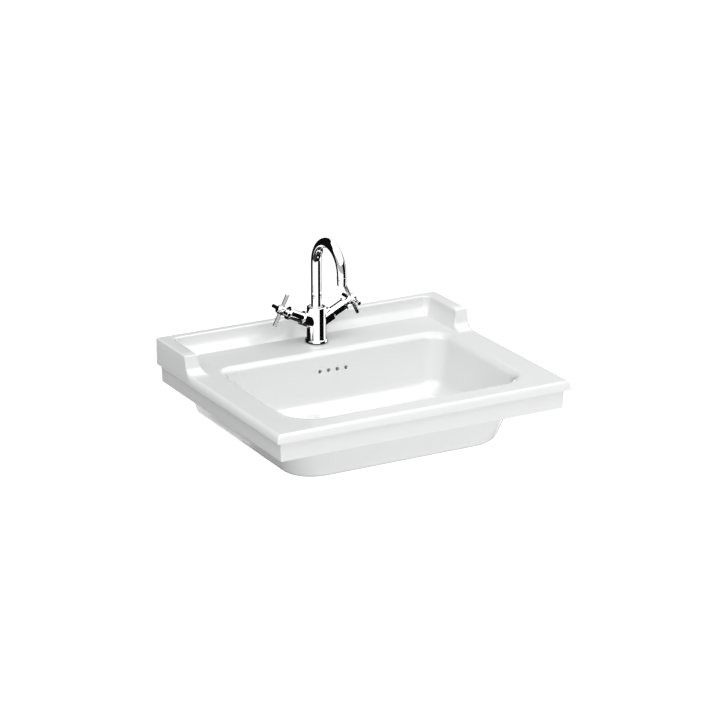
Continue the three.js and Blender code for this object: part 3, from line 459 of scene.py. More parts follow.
# Up the hollow slope of the upstand, over its rounded crest and out across the flat top.
slope = []
for step in range(15):
    rise = step / 14
    slope.append((1 - (1 - rise) ** 2, (upstand_top - crest_round) * rise))
slope = [(spread * (1 - crest_round / wing_foot), height) for spread, height in slope]
for step in range(1, 6):
    turn = math.radians(18 * step)
    spread = 1 - crest_round / wing_foot * math.cos(turn)
    slope.append((spread, upstand_top - crest_round * (1 - math.sin(turn))))
for count, (spread, height) in enumerate(slope):
    climbed = count / len(slope)
    ring = outline(
        foot_half + wing_foot * spread,
        foot_front + (crest_front - foot_front) * climbed,
        -(back_top + back_foot * (1 - spread)),
        foot_corner + (crest_corner - foot_corner) * climbed,
        inner_corner + wing_foot * spread,
        fixed=True,
    )
    rings.append([(x, y, lower_of(height, top)) for (x, y), top in zip(ring, ceiling)])
crest = [lower_of(upstand_top, top) for top in ceiling]


def edge_ring(inset_of, height_of, back_inset=None):
    """A ring of the outer edge, whose inset and height depend on how tall the rim is there."""
    ring = []
    for column, top in enumerate(crest):
        blend = eased(top / 12)
        inset = inset_of(nose_out + (crest_round - nose_out) * blend)
        back = 0 if back_inset is None else back_inset(crest_round)
        key = (round(inset, 4), round(back, 4))
        if key not in outlines:
            sizes = half_width - inset, basin_front + inset, -back, 3, 1
            outlines[key] = outline(*sizes, fixed=True)
        x, y = outlines[key][column]
        ring.append((x, y, height_of(top, nose_height + (crest_round - nose_height) * blend)))
    return ring


outlines = {}
for extra in (6, 1):
    rings.append(edge_ring(
        lambda out: out + extra,
        lambda top, fall: top,
        lambda out: out + extra / 3,
    ))
for step in range(10):
    turn = math.radians(10 * step)
    rings.append(edge_ring(
        lambda out: out * (1 - math.sin(turn)),
        lambda top, fall: top - fall * (1 - math.cos(turn)),
        lambda out: out * (1 - math.sin(turn)),
    ))
for share in (0.35, 0.7, 1):
    rings.append(edge_ring(
        lambda out: 0,
        lambda top, fall: (top - fall) * (1 - share) - nose_height * share,
    ))


def under_ring(inset, z):
    return flat(outline(half_width - inset, basin_front + inset, 0, 3, 1, fixed=True), z)


cove_top = -(nose_height + nose_undercut)
for inset, z in ((0.15, cove_top + 1.2), (0.6, cove_top + 0.35), (1.3, cove_top)):
    rings.append(under_ring(inset, z))
for step in range(1, 9):
    turn = math.radians(90 * step / 8)
    inset = 1.3 + (cove_inset - 1.3) * math.sin(turn)
    rings.append(under_ring(inset, cove_top - cove_height * (1 - math.cos(turn))))
for inset, z in (
    (cove_inset + 0.1, -26),
    (cove_inset + 0.8, -41),
    (fascia_inset - 0.1, fascia_bottom + 2.4),
    (fascia_inset, fascia_bottom + 1.4),
    (fascia_inset + 0.5, fascia_bottom + 0.5),
    (fascia_inset + 1.5, fascia_bottom),
):
    rings.append(under_ring(inset, z))


def tub_outline(z, inset=0.0, back=-0.6, back_corner=3):
    spread = (z - tub_bottom) * tub_slope - inset
    front = tub_front - spread - front_lean + lean(z)
    return outline(tub_half + spread, front, back, tub_corner, back_corner)


for z in (fascia_bottom - 0.3, -75, -92, -108, -120, -128):
    rings.append(flat(tub_outline(z), z))
for step in range(8):
    turn = math.radians(90 * step / 7)
    z = tub_bottom + tub_edge * (1 - math.sin(turn))
    rings.append(flat(tub_outline(z, tub_edge * (1 - math.cos(turn))), z))
bottom_ring = rings[-1]
outlet_ring = round_ring(outlet_radius + 1.5, tub_bottom, floor_ring)
rings += [between(bottom_ring, outlet_ring, share) for share in (0.03, 0.3, 0.65, 0.95, 1)]
rings.append(round_ring(outlet_radius, tub_bottom + 1.5, floor_ring))


def made(name, points, faces):
    mesh = bpy.data.meshes.new(name)
    mesh.from_pydata([(x * MM, y * MM, z * MM) for x, y, z in points], [], faces)
    piece = bpy.data.objects.new(name, mesh)
    bpy.context.scene.collection.objects.link(piece)
    return piece


def plain_ring(radius, z, steps):
    turns = [2 * math.pi * step / steps for step in range(steps)]
    return [(radius * math.cos(turn), radius * math.sin(turn), z) for turn in turns]


def bands(count, levels, joined=False):
    """The faces between rings of equal count."""
    faces = []
    for level in range(levels - (0 if joined else 1)):
        low, high = level * count, (level + 1) % levels * count
        for column in range(count):
            after = (column + 1) % count
            faces.append((low + column, low + after, high + after, high + column))
    return faces


def skinned(name, stack, joined=False):
    """A skin over rings, joined back to the first ring or capped at both ends."""
    count = len(stack[0])
    faces = bands(count, len(stack), joined)
    if not joined:
        faces.append(tuple(reversed(range(count))))
        faces.append(tuple(range((len(stack) - 1) * count, len(stack) * count)))
    piece = made(name, [point for ring in stack for point in ring], faces)
    form = bmesh.new()
    form.from_mesh(piece.data)
    bmesh.ops.recalc_face_normals(form, faces=form.faces)
    form.to_mesh(piece.data)
    form.free()
    return piece


def settled(piece):
    """Puts the piece's modifiers into its mesh."""
    bpy.context.view_layer.update()
    worked = piece.evaluated_get(bpy.context.evaluated_depsgraph_get())
    shape = bpy.data.meshes.new_from_object(worked)
    piece.modifiers.clear()
    piece.data = shape
    return piece


def carved(piece, *tools, operation="DIFFERENCE"):
    for tool in tools:
        cut = piece.modifiers.new("cut", "BOOLEAN")
        cut.operation = operation
        cut.solver = "MANIFOLD"
        cut.object = tool
        settled(piece)
        bpy.data.objects.remove(tool)
    return piece


def smoothed(piece, crease=32):
    """Smooth faces with a crease wherever two meet at more than the angle."""
    form = bmesh.new()
    form.from_mesh(piece.data)
    bmesh.ops.remove_doubles(form, verts=form.verts, dist=0.001 * MM)
    bmesh.ops.recalc_face_normals(form, faces=form.faces)
    for face in form.faces:
        face.smooth = True
    for edge in form.edges:
        edge.smooth = len(edge.link_faces) == 2 and edge.calc_face_angle(0) < math.radians(crease)
    form.to_mesh(piece.data)
    form.free()
    return piece


def turned(name, profile, steps=96, crease=32):
    """A lathe form round +Z from (radius, height) points, in millimetres."""
    closed = profile[0] != profile[-1] and profile[0][0] > 0 and profile[-1][0] > 0
    loop = [*profile, profile[0]] if closed else profile
    points = [point for radius, z in loop for point in plain_ring(radius, z, steps)]
    piece = made(name, points, bands(steps, len(loop)))
    form = bmesh.new()
    form.from_mesh(piece.data)
    bmesh.ops.remove_doubles(form, verts=form.verts, dist=0.001 * MM)
    flat_faces = [face for face in form.faces if face.calc_area() < 1e-14]
    bmesh.ops.delete(form, geom=flat_faces, context="FACES_ONLY")
    form.to_mesh(piece.data)
    form.free()
    return smoothed(piece, crease)


def rod(name, radius, low, high, steps):
    return turned(name, [(0, low), (radius, low), (radius, high), (0, high)], steps)


def set_at(piece, origin, axis=(0, 0, 1)):
    """Moves a lathe form so that its +Z runs along an axis from an origin, in metres."""
    turn = Vector(axis).to_track_quat("Z", "Y").to_matrix().to_4x4()
    piece.data.transform(Matrix.Translation(origin) @ turn)
    return piece


basin = skinned("basin_casting", rings, joined=True)

# The skirt is hollow round the tub, with a rounded root where the tub meets the deck.
root_radius = 8
skirt_inset = fascia_inset + skirt_wall
skirt_stack = []
for z, inset in ((fascia_bottom - 3, 0), (fascia_bottom + 10, 0), (-(deck_thick + root_radius), 0)):
    skirt_stack.append((z, inset))
for step in range(1, 7):
    turn = math.radians(15 * step)
    z = -deck_thick - root_radius * (1 - math.sin(turn))
    skirt_stack.append((z, root_radius * (1 - math.cos(turn))))
hollow = skinned("skirt_hollow", [
    flat(outline(
        half_width - skirt_inset - inset,
        basin_front + skirt_inset + inset,
        -back_wall - inset,
        4 + inset,
        3 + inset,
    ), z)
    for z, inset in skirt_stack
])
core = skinned("tub_core", [
    flat(tub_outline(z, -0.3 - inset, back=6, back_corner=8), z)
    for z, inset in [(fascia_bottom - 6, 0), *skirt_stack[1:], (0, root_radius)]
])
carved(hollow, core)
carved(basin, hollow)


# The pocket behind the bowl is open below; the overflow duct stands in it.
def pocket_size(z):
    """Half the pocket's width and the place of its front, at a height."""
    half = tub_half + (z - tub_bottom) * tub_slope - skirt_wall
    return half, bowl_back - rim_radius + skirt_wall + (z + rim_radius) * math.tan(draft)


pocket_corner = 6
pocket_stack = []
for z, inset in [(tub_bottom - 2, 0), *skirt_stack[2:]]:
    half, front = pocket_size(z)
    corner = pocket_corner + inset
    ring = outline(half - inset, front + inset, -back_wall - inset, corner, corner)
    pocket_stack.append(flat(ring, z))
pocket = skinned("pocket_space", pocket_stack)
duct_half, duct_depth, duct_wall = 38, 18, 8
duct_back = bowl_back - rim_radius + skirt_wall + duct_depth / 2
duct_lump = skinned("duct_lump", [
    flat(outline(duct_half + duct_wall + flare, -170, duct_back + duct_wall + flare, 2, 7), z)
    for z, flare in (
        (tub_bottom - 5, 0),
        (-deck_thick - 6, 0),
        (-deck_thick - 2, 1.8),
        (-deck_thick + 4, 6),
    )
])
carved(pocket, duct_lump)
carved(basin, pocket)


def slot_tool(name, half, front, back, low, high, corner=4):
    return skinned(name, [flat(outline(half, front, back, corner, corner), z) for z in (low, high)])


drain_low, drain_high = tub_bottom + 7, tub_bottom + 14
duct_front = duct_back - duct_depth
chamber = slot_tool("duct_space", duct_half, duct_front, duct_back, drain_low, -30)
run = slot_tool("drain_space", 13, outlet_y, duct_back - duct_depth / 2, drain_low, drain_high, 2)
carved(basin, chamber, run)

# Four overflow holes with rounded lips, square to the bowl's back wall.
hole_depth = -39
hole_radius, hole_lip = 4, 1.4
hole_wall = bowl_back - rim_foot[0] - (rim_foot[1] - hole_depth) * math.tan(draft)
into_wall = Vector((0, math.cos(draft), -math.sin(draft)))
hole_count, hole_pitch = 4, 20
for number in range(hole_count):
    lip = [(0, -6), (hole_radius + 3, -6), (hole_radius + 3, -0.9)]
    for step in range(7):
        turn = math.radians(15 * step)
        across = hole_radius + hole_lip * (1 - math.sin(turn))
        lip.append((across, hole_lip * (1 - math.cos(turn)) - 0.1))
    lip += [(hole_radius, 15), (0, 15)]
    punch = turned(f"overflow_punch_{number}", lip, 40)
    across = (number - (hole_count - 1) / 2) * hole_pitch
    set_at(punch, Vector((across, hole_wall, hole_depth)) * MM, into_wall)
    carved(basin, punch)

tap_hole = 17.5
tap_punch = turned("tap_punch", [
    (0, -30),
    (tap_hole, -30),
    (tap_hole, -1),
    (tap_hole + 0.4, -0.3),
    (tap_hole + 1.3, 0.1),
    (tap_hole + 1.3, 3),
    (0, 3),
], 64)
set_at(tap_punch, tap_axis)
carved(basin, tap_punch)
bolt_hole, bolt_across, bolt_depth = 7, 140, -88
for side in (-1, 1):
    bolt_punch = rod("bolt_punch", bolt_hole, -3, 20, 40)
    set_at(bolt_punch, Vector((side * bolt_across, 0, bolt_depth)) * MM, (0, -1, 0))
    carved(basin, bolt_punch)
smoothed(basin, 28)

glaze = Finish("white_glaze")
wash = glaze.noise(7, 2)
fleck = glaze.ramp(glaze.noise(420, 2), (0.62, 0.0), (0.72, 1.0))
pooled = glaze.blend(wash, (0.86, 0.862, 0.86), (0.83, 0.835, 0.838))
glaze.surface(
    Base_Color=glaze.blend(fleck * 0.05, pooled, (0.6, 0.6, 0.58)),
    Roughness=0.15 + 0.06 * glaze.noise(26, 4),
    Coat_Weight=0.25,
    Coat_Roughness=0.03,
    Coat_IOR=1.5,
    Normal=glaze.bump(glaze.noise(30, 1) + 0.12 * glaze.noise(170, 2), 0.00022),
)

bisque = Finish("bare_china")
grain = bisque.noise(900, 3)
bisque.surface(
    Base_Color=bisque.blend(bisque.noise(18, 4), (0.74, 0.72, 0.67), (0.66, 0.63, 0.57)),
    Roughness=0.72 + 0.2 * grain,
    Normal=bisque.bump(grain + 0.6 * bisque.noise(150, 3), 0.0004),
)
basin.data.materials.clear()
basin.data.materials.append(glaze.material)
basin.data.materials.append(bisque.material)
for face in basin.data.polygons:
    middle = face.center / MM
    half, front = pocket_size(middle.z)
    at_wall = middle.y > -1.2 and face.normal.y > 0.7
    under_deck = tub_bottom + 1 < middle.z < -deck_thick + 1
    in_pocket = abs(middle.x) < half + 1 and front - 1 < middle.y < 1 - back_wall
    face.material_index = 1 if at_wall or (under_deck and in_pocket) else 0
basin.visible_glossy = False
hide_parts("basin")
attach(basin, "basin_and_tap")

# ---- Tap body ------------------------------------------------------------------------------------
# A brass casting turned to 40 mm, polished and chromed. It stands on a rubber ring inside a
# chromed base ring, and the spout turns in the bore of its top.

chrome = Finish("polished_chrome")
handled = chrome.ramp(chrome.noise(14, 5), (0.45, 0.0), (0.75, 1.0))
spots = {"Vector": chrome.place, "Scale": 130.0}
droplet = chrome.node("TexVoronoi", {"feature": "DISTANCE_TO_EDGE"}, spots)
dried = chrome.ramp(droplet, (0.0, 1.0), (0.06, 0.0)) * handled
chrome.surface(
    Base_Color=chrome.blend(handled * 0.25, (0.9, 0.905, 0.91), (0.8, 0.81, 0.83)),
    Metallic=1.0,
    Roughness=0.025 + 0.03 * chrome.noise(60, 3) + 0.03 * dried,
    Normal=chrome.bump(chrome.noise(55, 1), 0.00003),
)


def finished(piece, finish, body, slot, *nodes):
    """Gives a piece its finish and its body, and hides the plain nodes it stands for; its slot is not used."""
    piece.data.materials.clear()
    piece.data.materials.append(finish.material)
    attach(piece, body)
    if nodes:
        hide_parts(*nodes)
    return piece


def eased_edge(radius, height, size, up=1, steps=4):
    """A quarter-round from a cylinder of that radius onto a face at that height."""
    corner = []
    for step in range(steps + 1):
        turn = math.radians(90 * step / steps)
        across = radius - size * (1 - math.cos(turn))
        corner.append((across, height - up * size * (1 - math.sin(turn))))
    return corner


body_radius = (tap_high.x - tap_low.x) / 2 / MM
body_low, body_top = tap_low.z / MM, tap_high.z / MM
bush_low, bush_high = reach("spout_bush")
seat_radius = (bush_high.x - bush_low.x) / 2 + 0.3
seat_floor = reach("spout_stem")[0].z - 0.3
body = turned("body_casting", [
    (0, body_low),
    (body_radius - 0.6, body_low),
    (body_radius, body_low + 0.6),
    (body_radius, body_low + 12),
    (body_radius, body_top - 3),
    *eased_edge(body_radius, body_top, 1.3),
    (body_radius - 3, body_top),
    (seat_radius + 1.2, body_top),
    (seat_radius + 0.3, body_top - 0.2),
    (seat_radius, body_top - 0.8),
    (seat_radius, seat_floor),
    (0, seat_floor),
], 128)
set_at(body, tap_axis)
grub_low, grub_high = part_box("spout_grub_screw")
grub_radius = (grub_high.x - grub_low.x) / 2 / MM
grub_place = Vector((tap_axis.x, tap_axis.y, (grub_low.z + grub_high.z) / 2))
grub_punch = rod("grub_punch", grub_radius + 0.3, 8, 24, 32)
carved(body, set_at(grub_punch, grub_place, (0, 1, 0)))
finished(smoothed(body), chrome, "basin_and_tap", "chrome", "tap_body")

base_low, base_high = reach("tap_base_ring")
base_radius = (base_high.x - base_low.x) / 2
base = turned("base_ring", [
    (body_radius + 0.1, base_low.z),
    (base_radius - 0.4, base_low.z),
    (base_radius, base_low.z + 0.4),
    (base_radius, base_high.z - 1.8),
    *eased_edge(base_radius, base_high.z, 1.5),
    (body_radius + 0.9, base_high.z),
    (body_radius + 0.1, base_high.z - 0.6),
], 128)
finished(set_at(base, tap_axis), chrome, "basin_and_tap", "chrome", "tap_base_ring")

# ---- Spout ---------------------------------------------------------------------------------------
# One tube, drawn to a slight taper and bent over a former into an arch, polished and chromed.
# A nozzle with a plastic flow straightener screws into its tip.

spout_low, spout_high = reach("spout")
nozzle_low, nozzle_high = reach("aerator_housing")
tube_radius = (spout_high.x - spout_low.x) / 2
tip_radius = tube_radius - 0.9
tube_wall = 1.9
tip_y = (nozzle_low.y + nozzle_high.y) / 2
tap_y = tap_axis.y / MM
arch_radius = (tap_y - tip_y) / 2
spring = spout_high.z - tube_radius - arch_radius
centre_line = []
for z in (spout_low.z, spout_low.z + 1, spout_low.z + 6, 0.5 * (spout_low.z + spring), spring - 1):
    centre_line.append((tap_y, z, 0.0))
arch_steps = 72
for step in range(arch_steps + 1):
    turn = math.pi * step / arch_steps
    y = tap_y - arch_radius * (1 - math.cos(turn))
    centre_line.append((y, spring + arch_radius * math.sin(turn), turn))
spigot_height = 3.6
tube_end = nozzle_high.z - spigot_height
centre_line.append((tip_y, tube_end, math.pi))


def tube_ring(y, z, turn, radius, steps=64):
    ring = []
    for step in range(steps):
        around = 2 * math.pi * step / steps
        out = radius * math.cos(around)
        ring.append((radius * math.sin(around), y + out * math.cos(turn), z + out * math.sin(turn)))
    return ring


def tube_size(turn):
    return tube_radius + (tip_radius - tube_radius) * eased(turn / math.pi)


tube = [tube_ring(*centre_line[0], tube_size(0) - 0.4)]
tube += [tube_ring(y, z, turn, tube_size(turn)) for y, z, turn in centre_line[1:]]
for inset in (0.4, tube_wall):
    tube.append(tube_ring(tip_y, tube_end - 0.3, math.pi, tip_radius - inset))
tube += [tube_ring(y, z, turn, tube_size(turn) - tube_wall) for y, z, turn in centre_line[-2:0:-1]]
tube.append(tube_ring(*centre_line[0], tube_size(0) - tube_wall))
spout = smoothed(skinned("spout_tube", tube, joined=True))
finished(spout, chrome, "spout", "chrome", "spout")

spigot_radius = tip_radius - tube_wall - 0.2
nozzle_radius = 10.5
nozzle_top = tube_end - 0.6
nozzle_bore = 8.1
nozzle = turned("nozzle_sleeve", [
    (nozzle_bore, nozzle_low.z + 0.8),
    (nozzle_bore + 0.5, nozzle_low.z),
    (nozzle_radius - 1.3, nozzle_low.z),
    (nozzle_radius - 0.8, nozzle_low.z + 0.5),
    (nozzle_radius - 0.7, nozzle_low.z + 3),
    (nozzle_radius - 0.15, nozzle_top - 3),
    (nozzle_radius, nozzle_top - 1),
    *eased_edge(nozzle_radius, nozzle_top, 0.5),
    (spigot_radius, nozzle_top),
    (spigot_radius, nozzle_top + 4),
    (spigot_radius - 2, nozzle_top + 4),
    (spigot_radius - 2, nozzle_top - 2),
    (nozzle_bore, nozzle_top - 2),
])
finished(set_at(nozzle, Vector((0, tip_y, 0)) * MM), chrome, "spout", "chrome", "aerator_housing")

insert_low, insert_high = reach("aerator_insert")
insert_radius = (insert_high.x - insert_low.x) / 2
straightener = turned("flow_straightener", [
    (0, insert_low.z + 0.6),
    (insert_radius - 1.3, insert_low.z + 0.6),
    (insert_radius - 1.1, insert_low.z),
    (insert_radius - 0.3, insert_low.z),
    (insert_radius, insert_low.z + 0.3),
    (insert_radius, insert_high.z),
    (0, insert_high.z),
], 64)
cell_pitch, cell_radius = 1.32, 0.58
row_pitch = 1.143
cells = [
    (cell_pitch * (across + 0.5 * along), row_pitch * along)
    for across in range(-4, 5)
    for along in range(-4, 5)
]
prism = [tuple(reversed(range(6))), tuple(range(6, 12)), *bands(6, 2)]
cell_points, cell_faces = [], []
for x, y in cells:
    if math.hypot(x, y) >= insert_radius - 1.9:
        continue
    start = len(cell_points)
    for z in (insert_low.z - 1, insert_high.z + 1):
        for turn in (math.radians(60 * step + 30) for step in range(6)):
            across, along = cell_radius * math.cos(turn), cell_radius * math.sin(turn)
            cell_points.append((x + across, y + along, z))
    cell_faces += [tuple(start + corner for corner in face) for face in prism]
carved(straightener, made("cell_punch", cell_points, cell_faces))
set_at(smoothed(straightener), Vector((0, tip_y, 0)) * MM)


def moulded(name, light, dark, rough):
    """Plastic or rubber from a steel mould with a fine spark texture."""
    plastic = Finish(name)
    spark = plastic.noise(2200, 2)
    plastic.surface(
        Base_Color=plastic.blend(plastic.noise(60, 3), light, dark),
        Roughness=rough + 0.15 * spark,
        Normal=plastic.bump(spark, 0.00004),
    )
    return plastic


black_plastic = moulded("black_moulding", (0.03, 0.03, 0.032), (0.045, 0.045, 0.046), 0.38)
finished(straightener, black_plastic, "spout", "black_plastic", "aerator_insert")

# ---- Valves and cross handles --------------------------------------------------------------------
# Each side has a chromed sleeve over its brass cartridge, a loose collar, and a handle: a turned
# hub with four plain arms screwed into it, held on the spindle by a screw under a domed cap.


def span(node, origin, axis):
    """A node's reach along an axis and its radius round it, in millimetres."""
    ends, radius = [], 0
    for vertex in frame["nodes"][node].data.vertices:
        offset = vertex.co - origin
        along = offset.dot(axis)
        ends.append(along / MM)
        radius = max(radius, (offset - axis * along).length / MM)
    return min(ends), max(ends), radius


def valve_sleeve(start, end, root_radius, bore):
    neck = root_radius - 3.5
    step = end - 31
    return [
        (bore, start),
        (root_radius, start),
        (root_radius, step - 2.2),
        *eased_edge(root_radius, step, 1.2),
        (neck + 1.6, step),
        (neck + 0.8, step + 0.15),
        (neck + 0.25, step + 0.5),
        (neck, step + 1.1),
        (neck, step + 4),
        (neck, end - 4.2),
        (neck - 0.35, end - 4.0),
        (neck - 0.35, end - 3.3),
        (neck, end - 3.1),
        (neck, end - 1),
        *eased_edge(neck, end, 0.5),
        (bore, end),
    ]


def handle_hub(start, end, radius):
    neck = radius - 3
    return [
        (0, start - 2.7),
        (neck - 0.6, start - 2.7),
        (neck, start - 2.1),
        (neck, start + 3.8),
        (neck + 0.3, start + 4.9),
        (neck + 1.2, start + 5.7),
        (radius - 1.5, start + 6),
        *reversed(eased_edge(radius, start + 6, 1.4, up=-1)),
        (radius, start + 9),
        (radius, end - 3),
        *eased_edge(radius, end, 1.4),
        (0, end),
    ]


spindle_bore = 4.3
for joint in frame["joints"]:
    if not joint["name"].endswith("_valve"):
        continue
    side = joint["name"].split("_")[0]
    axis = Vector(joint["axis"]).normalized()
    pivot = Vector(joint["pos_m"])
    crossing = pivot - axis * ((pivot.x - tap_axis.x) / axis.x)
    hub_body = f"{side}_handle"

    _, sleeve_end, root = span(f"{side}_valve_sleeve", crossing, axis)
    cartridge_start, _, cartridge_radius = span(f"{side}_cartridge", crossing, axis)
    profile = valve_sleeve(cartridge_start, sleeve_end, root, cartridge_radius + 0.3)
    sleeve = set_at(turned(f"{side}_sleeve", profile, 112), crossing, axis)
    saddle = rod("saddle_punch", body_radius + 0.05, -60, 160, 128)
    carved(sleeve, set_at(saddle, tap_axis))
    finished(smoothed(sleeve), chrome, "basin_and_tap", "chrome", f"{side}_valve_sleeve")

    low, high, radius = span(f"{side}_collar", crossing, axis)
    disc = turned(f"{side}_collar_disc", [
        (spindle_bore, low),
        (radius - 0.5, low),
        (radius, low + 0.5),
        *eased_edge(radius, high, 1.2),
        (5.2, high),
        (spindle_bore, high - 0.4),
    ], 96)
    finished(set_at(disc, crossing, axis), chrome, "basin_and_tap", "chrome", f"{side}_collar")

    low, high, radius = span(f"{side}_handle_hub", crossing, axis)
    hub = set_at(turned(f"{side}_hub", handle_hub(low, high, radius), 96), crossing, axis)
    spindle_end = span(f"{side}_spindle", crossing, axis)[1]
    bore = rod("spindle_punch", spindle_bore, low - 6, spindle_end + 0.3, 48)
    carved(hub, set_at(bore, crossing, axis))
    finished(smoothed(hub), chrome, hub_body, "chrome", f"{side}_handle_hub")

    hub_radius = radius
    for number in range(1, 5):
        node = f"{side}_handle_arm_{number}"
        corners = [vertex.co for vertex in frame["nodes"][node].data.vertices]
        centre = sum(corners, Vector()) / len(corners) - crossing
        root_point = crossing + axis * centre.dot(axis)
        out = (crossing + centre - root_point).normalized()
        _, tip, radius = span(node, root_point, out)
        arm = turned(f"{side}_arm_{number}", [
            (0, hub_radius - 2.5),
            (radius - 0.9, hub_radius - 2.5),
            (radius - 0.9, hub_radius + 0.5),
            (radius, hub_radius + 1.0),
            (radius, hub_radius + 3),
            (radius, tip - 2),
            *eased_edge(radius, tip, 0.9),
            (0, tip),
        ], 56)
        finished(set_at(arm, root_point, out), chrome, hub_body, "chrome", node)

    low, high, radius = span(f"{side}_index_cap", crossing, axis)
    seat = high - 4
    dome = []
    for step in range(9):
        turn = math.radians(10 * step)
        dome.append(((radius - 0.4) * math.cos(turn), seat + 1.6 + 2.4 * math.sin(turn)))
    cap = turned(f"{side}_cap", [
        (0, low + 0.2),
        (4, low + 0.2),
        (4, seat),
        (radius - 0.4, seat),
        (radius, seat + 0.4),
        (radius, seat + 1.1),
        (radius - 0.2, seat + 1.4),
        *dome,
        (0, high),
    ], 80)
    finished(set_at(cap, crossing, axis), chrome, hub_body, "chrome", f"{side}_index_cap")

# ---- Tap fixings ---------------------------------------------------------------------------------
# A threaded stud screws up into the body. Under the deck a rubber and a steel horseshoe slip round
# it, and a brass nut on the stud pulls the tap down onto its ring.


def threaded_rings(radius, pitch, depth, low, high, steps):
    """Rings of an outside thread, as a cylinder whose surface follows the helix."""
    stack = []
    rows = math.ceil((high - low) / pitch * 6)
    for row in range(rows + 1):
        z = low + (high - low) * row / rows
        ring = []
        for step in range(steps):
            phase = ((z - low) / pitch - step / steps) % 1
            fade = min(row, rows - row, 3) / 3
            cut_in = depth * fade * (1 - abs(2 * phase - 1))
            turn = 2 * math.pi * step / steps
            ring.append(((radius - cut_in) * math.cos(turn), (radius - cut_in) * math.sin(turn), z))
        stack.append(ring)
    return stack


def machined(name, light, dark, rough):
    """Metal with the fine rings that a lathe tool leaves."""
    metal = Finish(name)
    axes = metal.node("SeparateXYZ", {}, {0: metal.place}, out=2)
    rings_cut = metal.node("Math", {"operation": "SINE"}, {0: axes * 9000.0})
    stain = metal.noise(120, 4)
    metal.surface(
        Base_Color=metal.blend(stain, light, dark),
        Metallic=1.0,
        Roughness=rough + 0.12 * stain,
        Normal=metal.bump(0.4 * rings_cut + metal.noise(1500, 2), 0.00003),
    )
    return metal


steel = machined("zinc_plate", (0.68, 0.69, 0.7), (0.56, 0.57, 0.56), 0.24)
brass = machined("turned_brass", (0.78, 0.57, 0.27), (0.62, 0.43, 0.2), 0.2)
stud_low, stud_high = reach("tap_stud")
stud_radius = (stud_high.x - stud_low.x) / 2
stud_place = Vector(((stud_low.x + stud_high.x) / 2, (stud_low.y + stud_high.y) / 2, 0)) * MM
stud_bevel, stud_steps = 0.8, 32
stud_pitch, stud_cut = 1.25, 0.6
thread_low, thread_high = stud_low.z + stud_bevel, stud_high.z - stud_bevel
stud = smoothed(skinned("threaded_stud", [
    plain_ring(stud_radius - stud_bevel, stud_low.z, stud_steps),
    *threaded_rings(stud_radius, stud_pitch, stud_cut, thread_low, thread_high, stud_steps),
    plain_ring(stud_radius - stud_bevel, stud_high.z, stud_steps),
]), 60)
finished(set_at(stud, stud_place), steel, "basin_and_tap", "steel", "tap_stud")


def nut(name, radius, sides, low, high, bore):
    """A prism with both ends chamfered and its bore countersunk."""
    prism = skinned(name, [plain_ring(radius, z, sides) for z in (low, high)])
    chamfer = (1 - math.cos(math.pi / sides)) * radius
    round_off = turned("chamfer_form", [
        (0, low - 0.1),
        (radius - chamfer - 0.4, low - 0.1),
        (radius + 0.3, low + 0.6 * chamfer + 0.5),
        (radius + 0.3, high - 0.6 * chamfer - 0.5),
        (radius - chamfer - 0.4, high + 0.1),
        (0, high + 0.1),
    ], 96)
    carved(prism, round_off, operation="INTERSECT")
    through = turned("bore_punch", [
        (0, low - 1), (bore + 1, low - 1), (bore + 1, low), (bore, low + 1), (bore, high - 1),
        (bore + 1, high), (bore + 1, high + 1), (0, high + 1),
    ], 64)
    return smoothed(carved(prism, through))


nut_low, nut_high = reach("tap_stud_nut")
nut_radius = (nut_high.x - nut_low.x) / 2
stud_nut = nut("stud_hex_nut", nut_radius, 6, nut_low.z, nut_high.z, stud_radius + 0.1)
finished(set_at(stud_nut, stud_place), brass, "basin_and_tap", "brass", "tap_stud_nut")

# ---- Waste and plug ------------------------------------------------------------------------------
# A chromed brass tube with a polished flange drops through the outlet onto a rubber ring. A seal
# and a back nut clamp it from below. The plug is pushed down to close and springs up to open.

waste_place = Vector((0, outlet_y, 0)) * MM
waste_steps = 96
flange_radius = (outlet_high.x - outlet_low.x) / 2
tube_outer = 20.75
tube_bore = 17.9
flange_top = outlet_high.z
flange_low = flange_top - 2.2
waste_pitch, waste_cut = 2.0, 0.9
waste_rings = [
    plain_ring(tube_outer - 0.8, outlet_low.z, waste_steps),
    *threaded_rings(
        tube_outer, waste_pitch, waste_cut, outlet_low.z + 0.8, flange_low - 22, waste_steps
    ),
]
for radius, z in (
    (tube_outer, flange_low - 19),
    (tube_outer, flange_low - 0.5),
    (tube_outer + 0.5, flange_low),
    (flange_radius - 0.5, flange_low),
    (flange_radius, flange_low + 0.4),
    *eased_edge(flange_radius, flange_top, 1.4),
    (flange_radius - 4, flange_top - 0.05),
    (flange_radius - 8, flange_top - 0.5),
    (tube_bore + 2.6, flange_top - 1.1),
    (tube_bore + 1.0, flange_top - 1.9),
    (tube_bore + 0.2, flange_top - 3.2),
    (tube_bore, flange_top - 5),
    (tube_bore, outlet_low.z + 0.6),
    (tube_bore + 0.6, outlet_low.z),
):
    waste_rings.append(plain_ring(radius, z, waste_steps))
waste = skinned("waste_tube", waste_rings, joined=True)


def bar(name, half_x, half_y, low, high):
    corners = ((-1, -1), (1, -1), (1, 1), (-1, 1))
    return skinned(name, [[(x * half_x, y * half_y, z) for x, y in corners] for z in (low, high)])


carved(waste, bar("slot_punch", 9, 40, drain_low, drain_high))
web_top = reach("plug_latch_housing")[0].z - 0.3
for half_x, half_y in ((tube_bore + 1, 2.1), (2.1, tube_bore + 1)):
    carved(waste, bar("web_bar", half_x, half_y, web_top - 3, web_top), operation="UNION")
carved(waste, rod("web_disc", 8.5, web_top - 3.1, web_top + 0.05, 48), operation="UNION")
finished(set_at(smoothed(waste), waste_place), chrome, "basin_and_tap", "chrome", "waste_body")

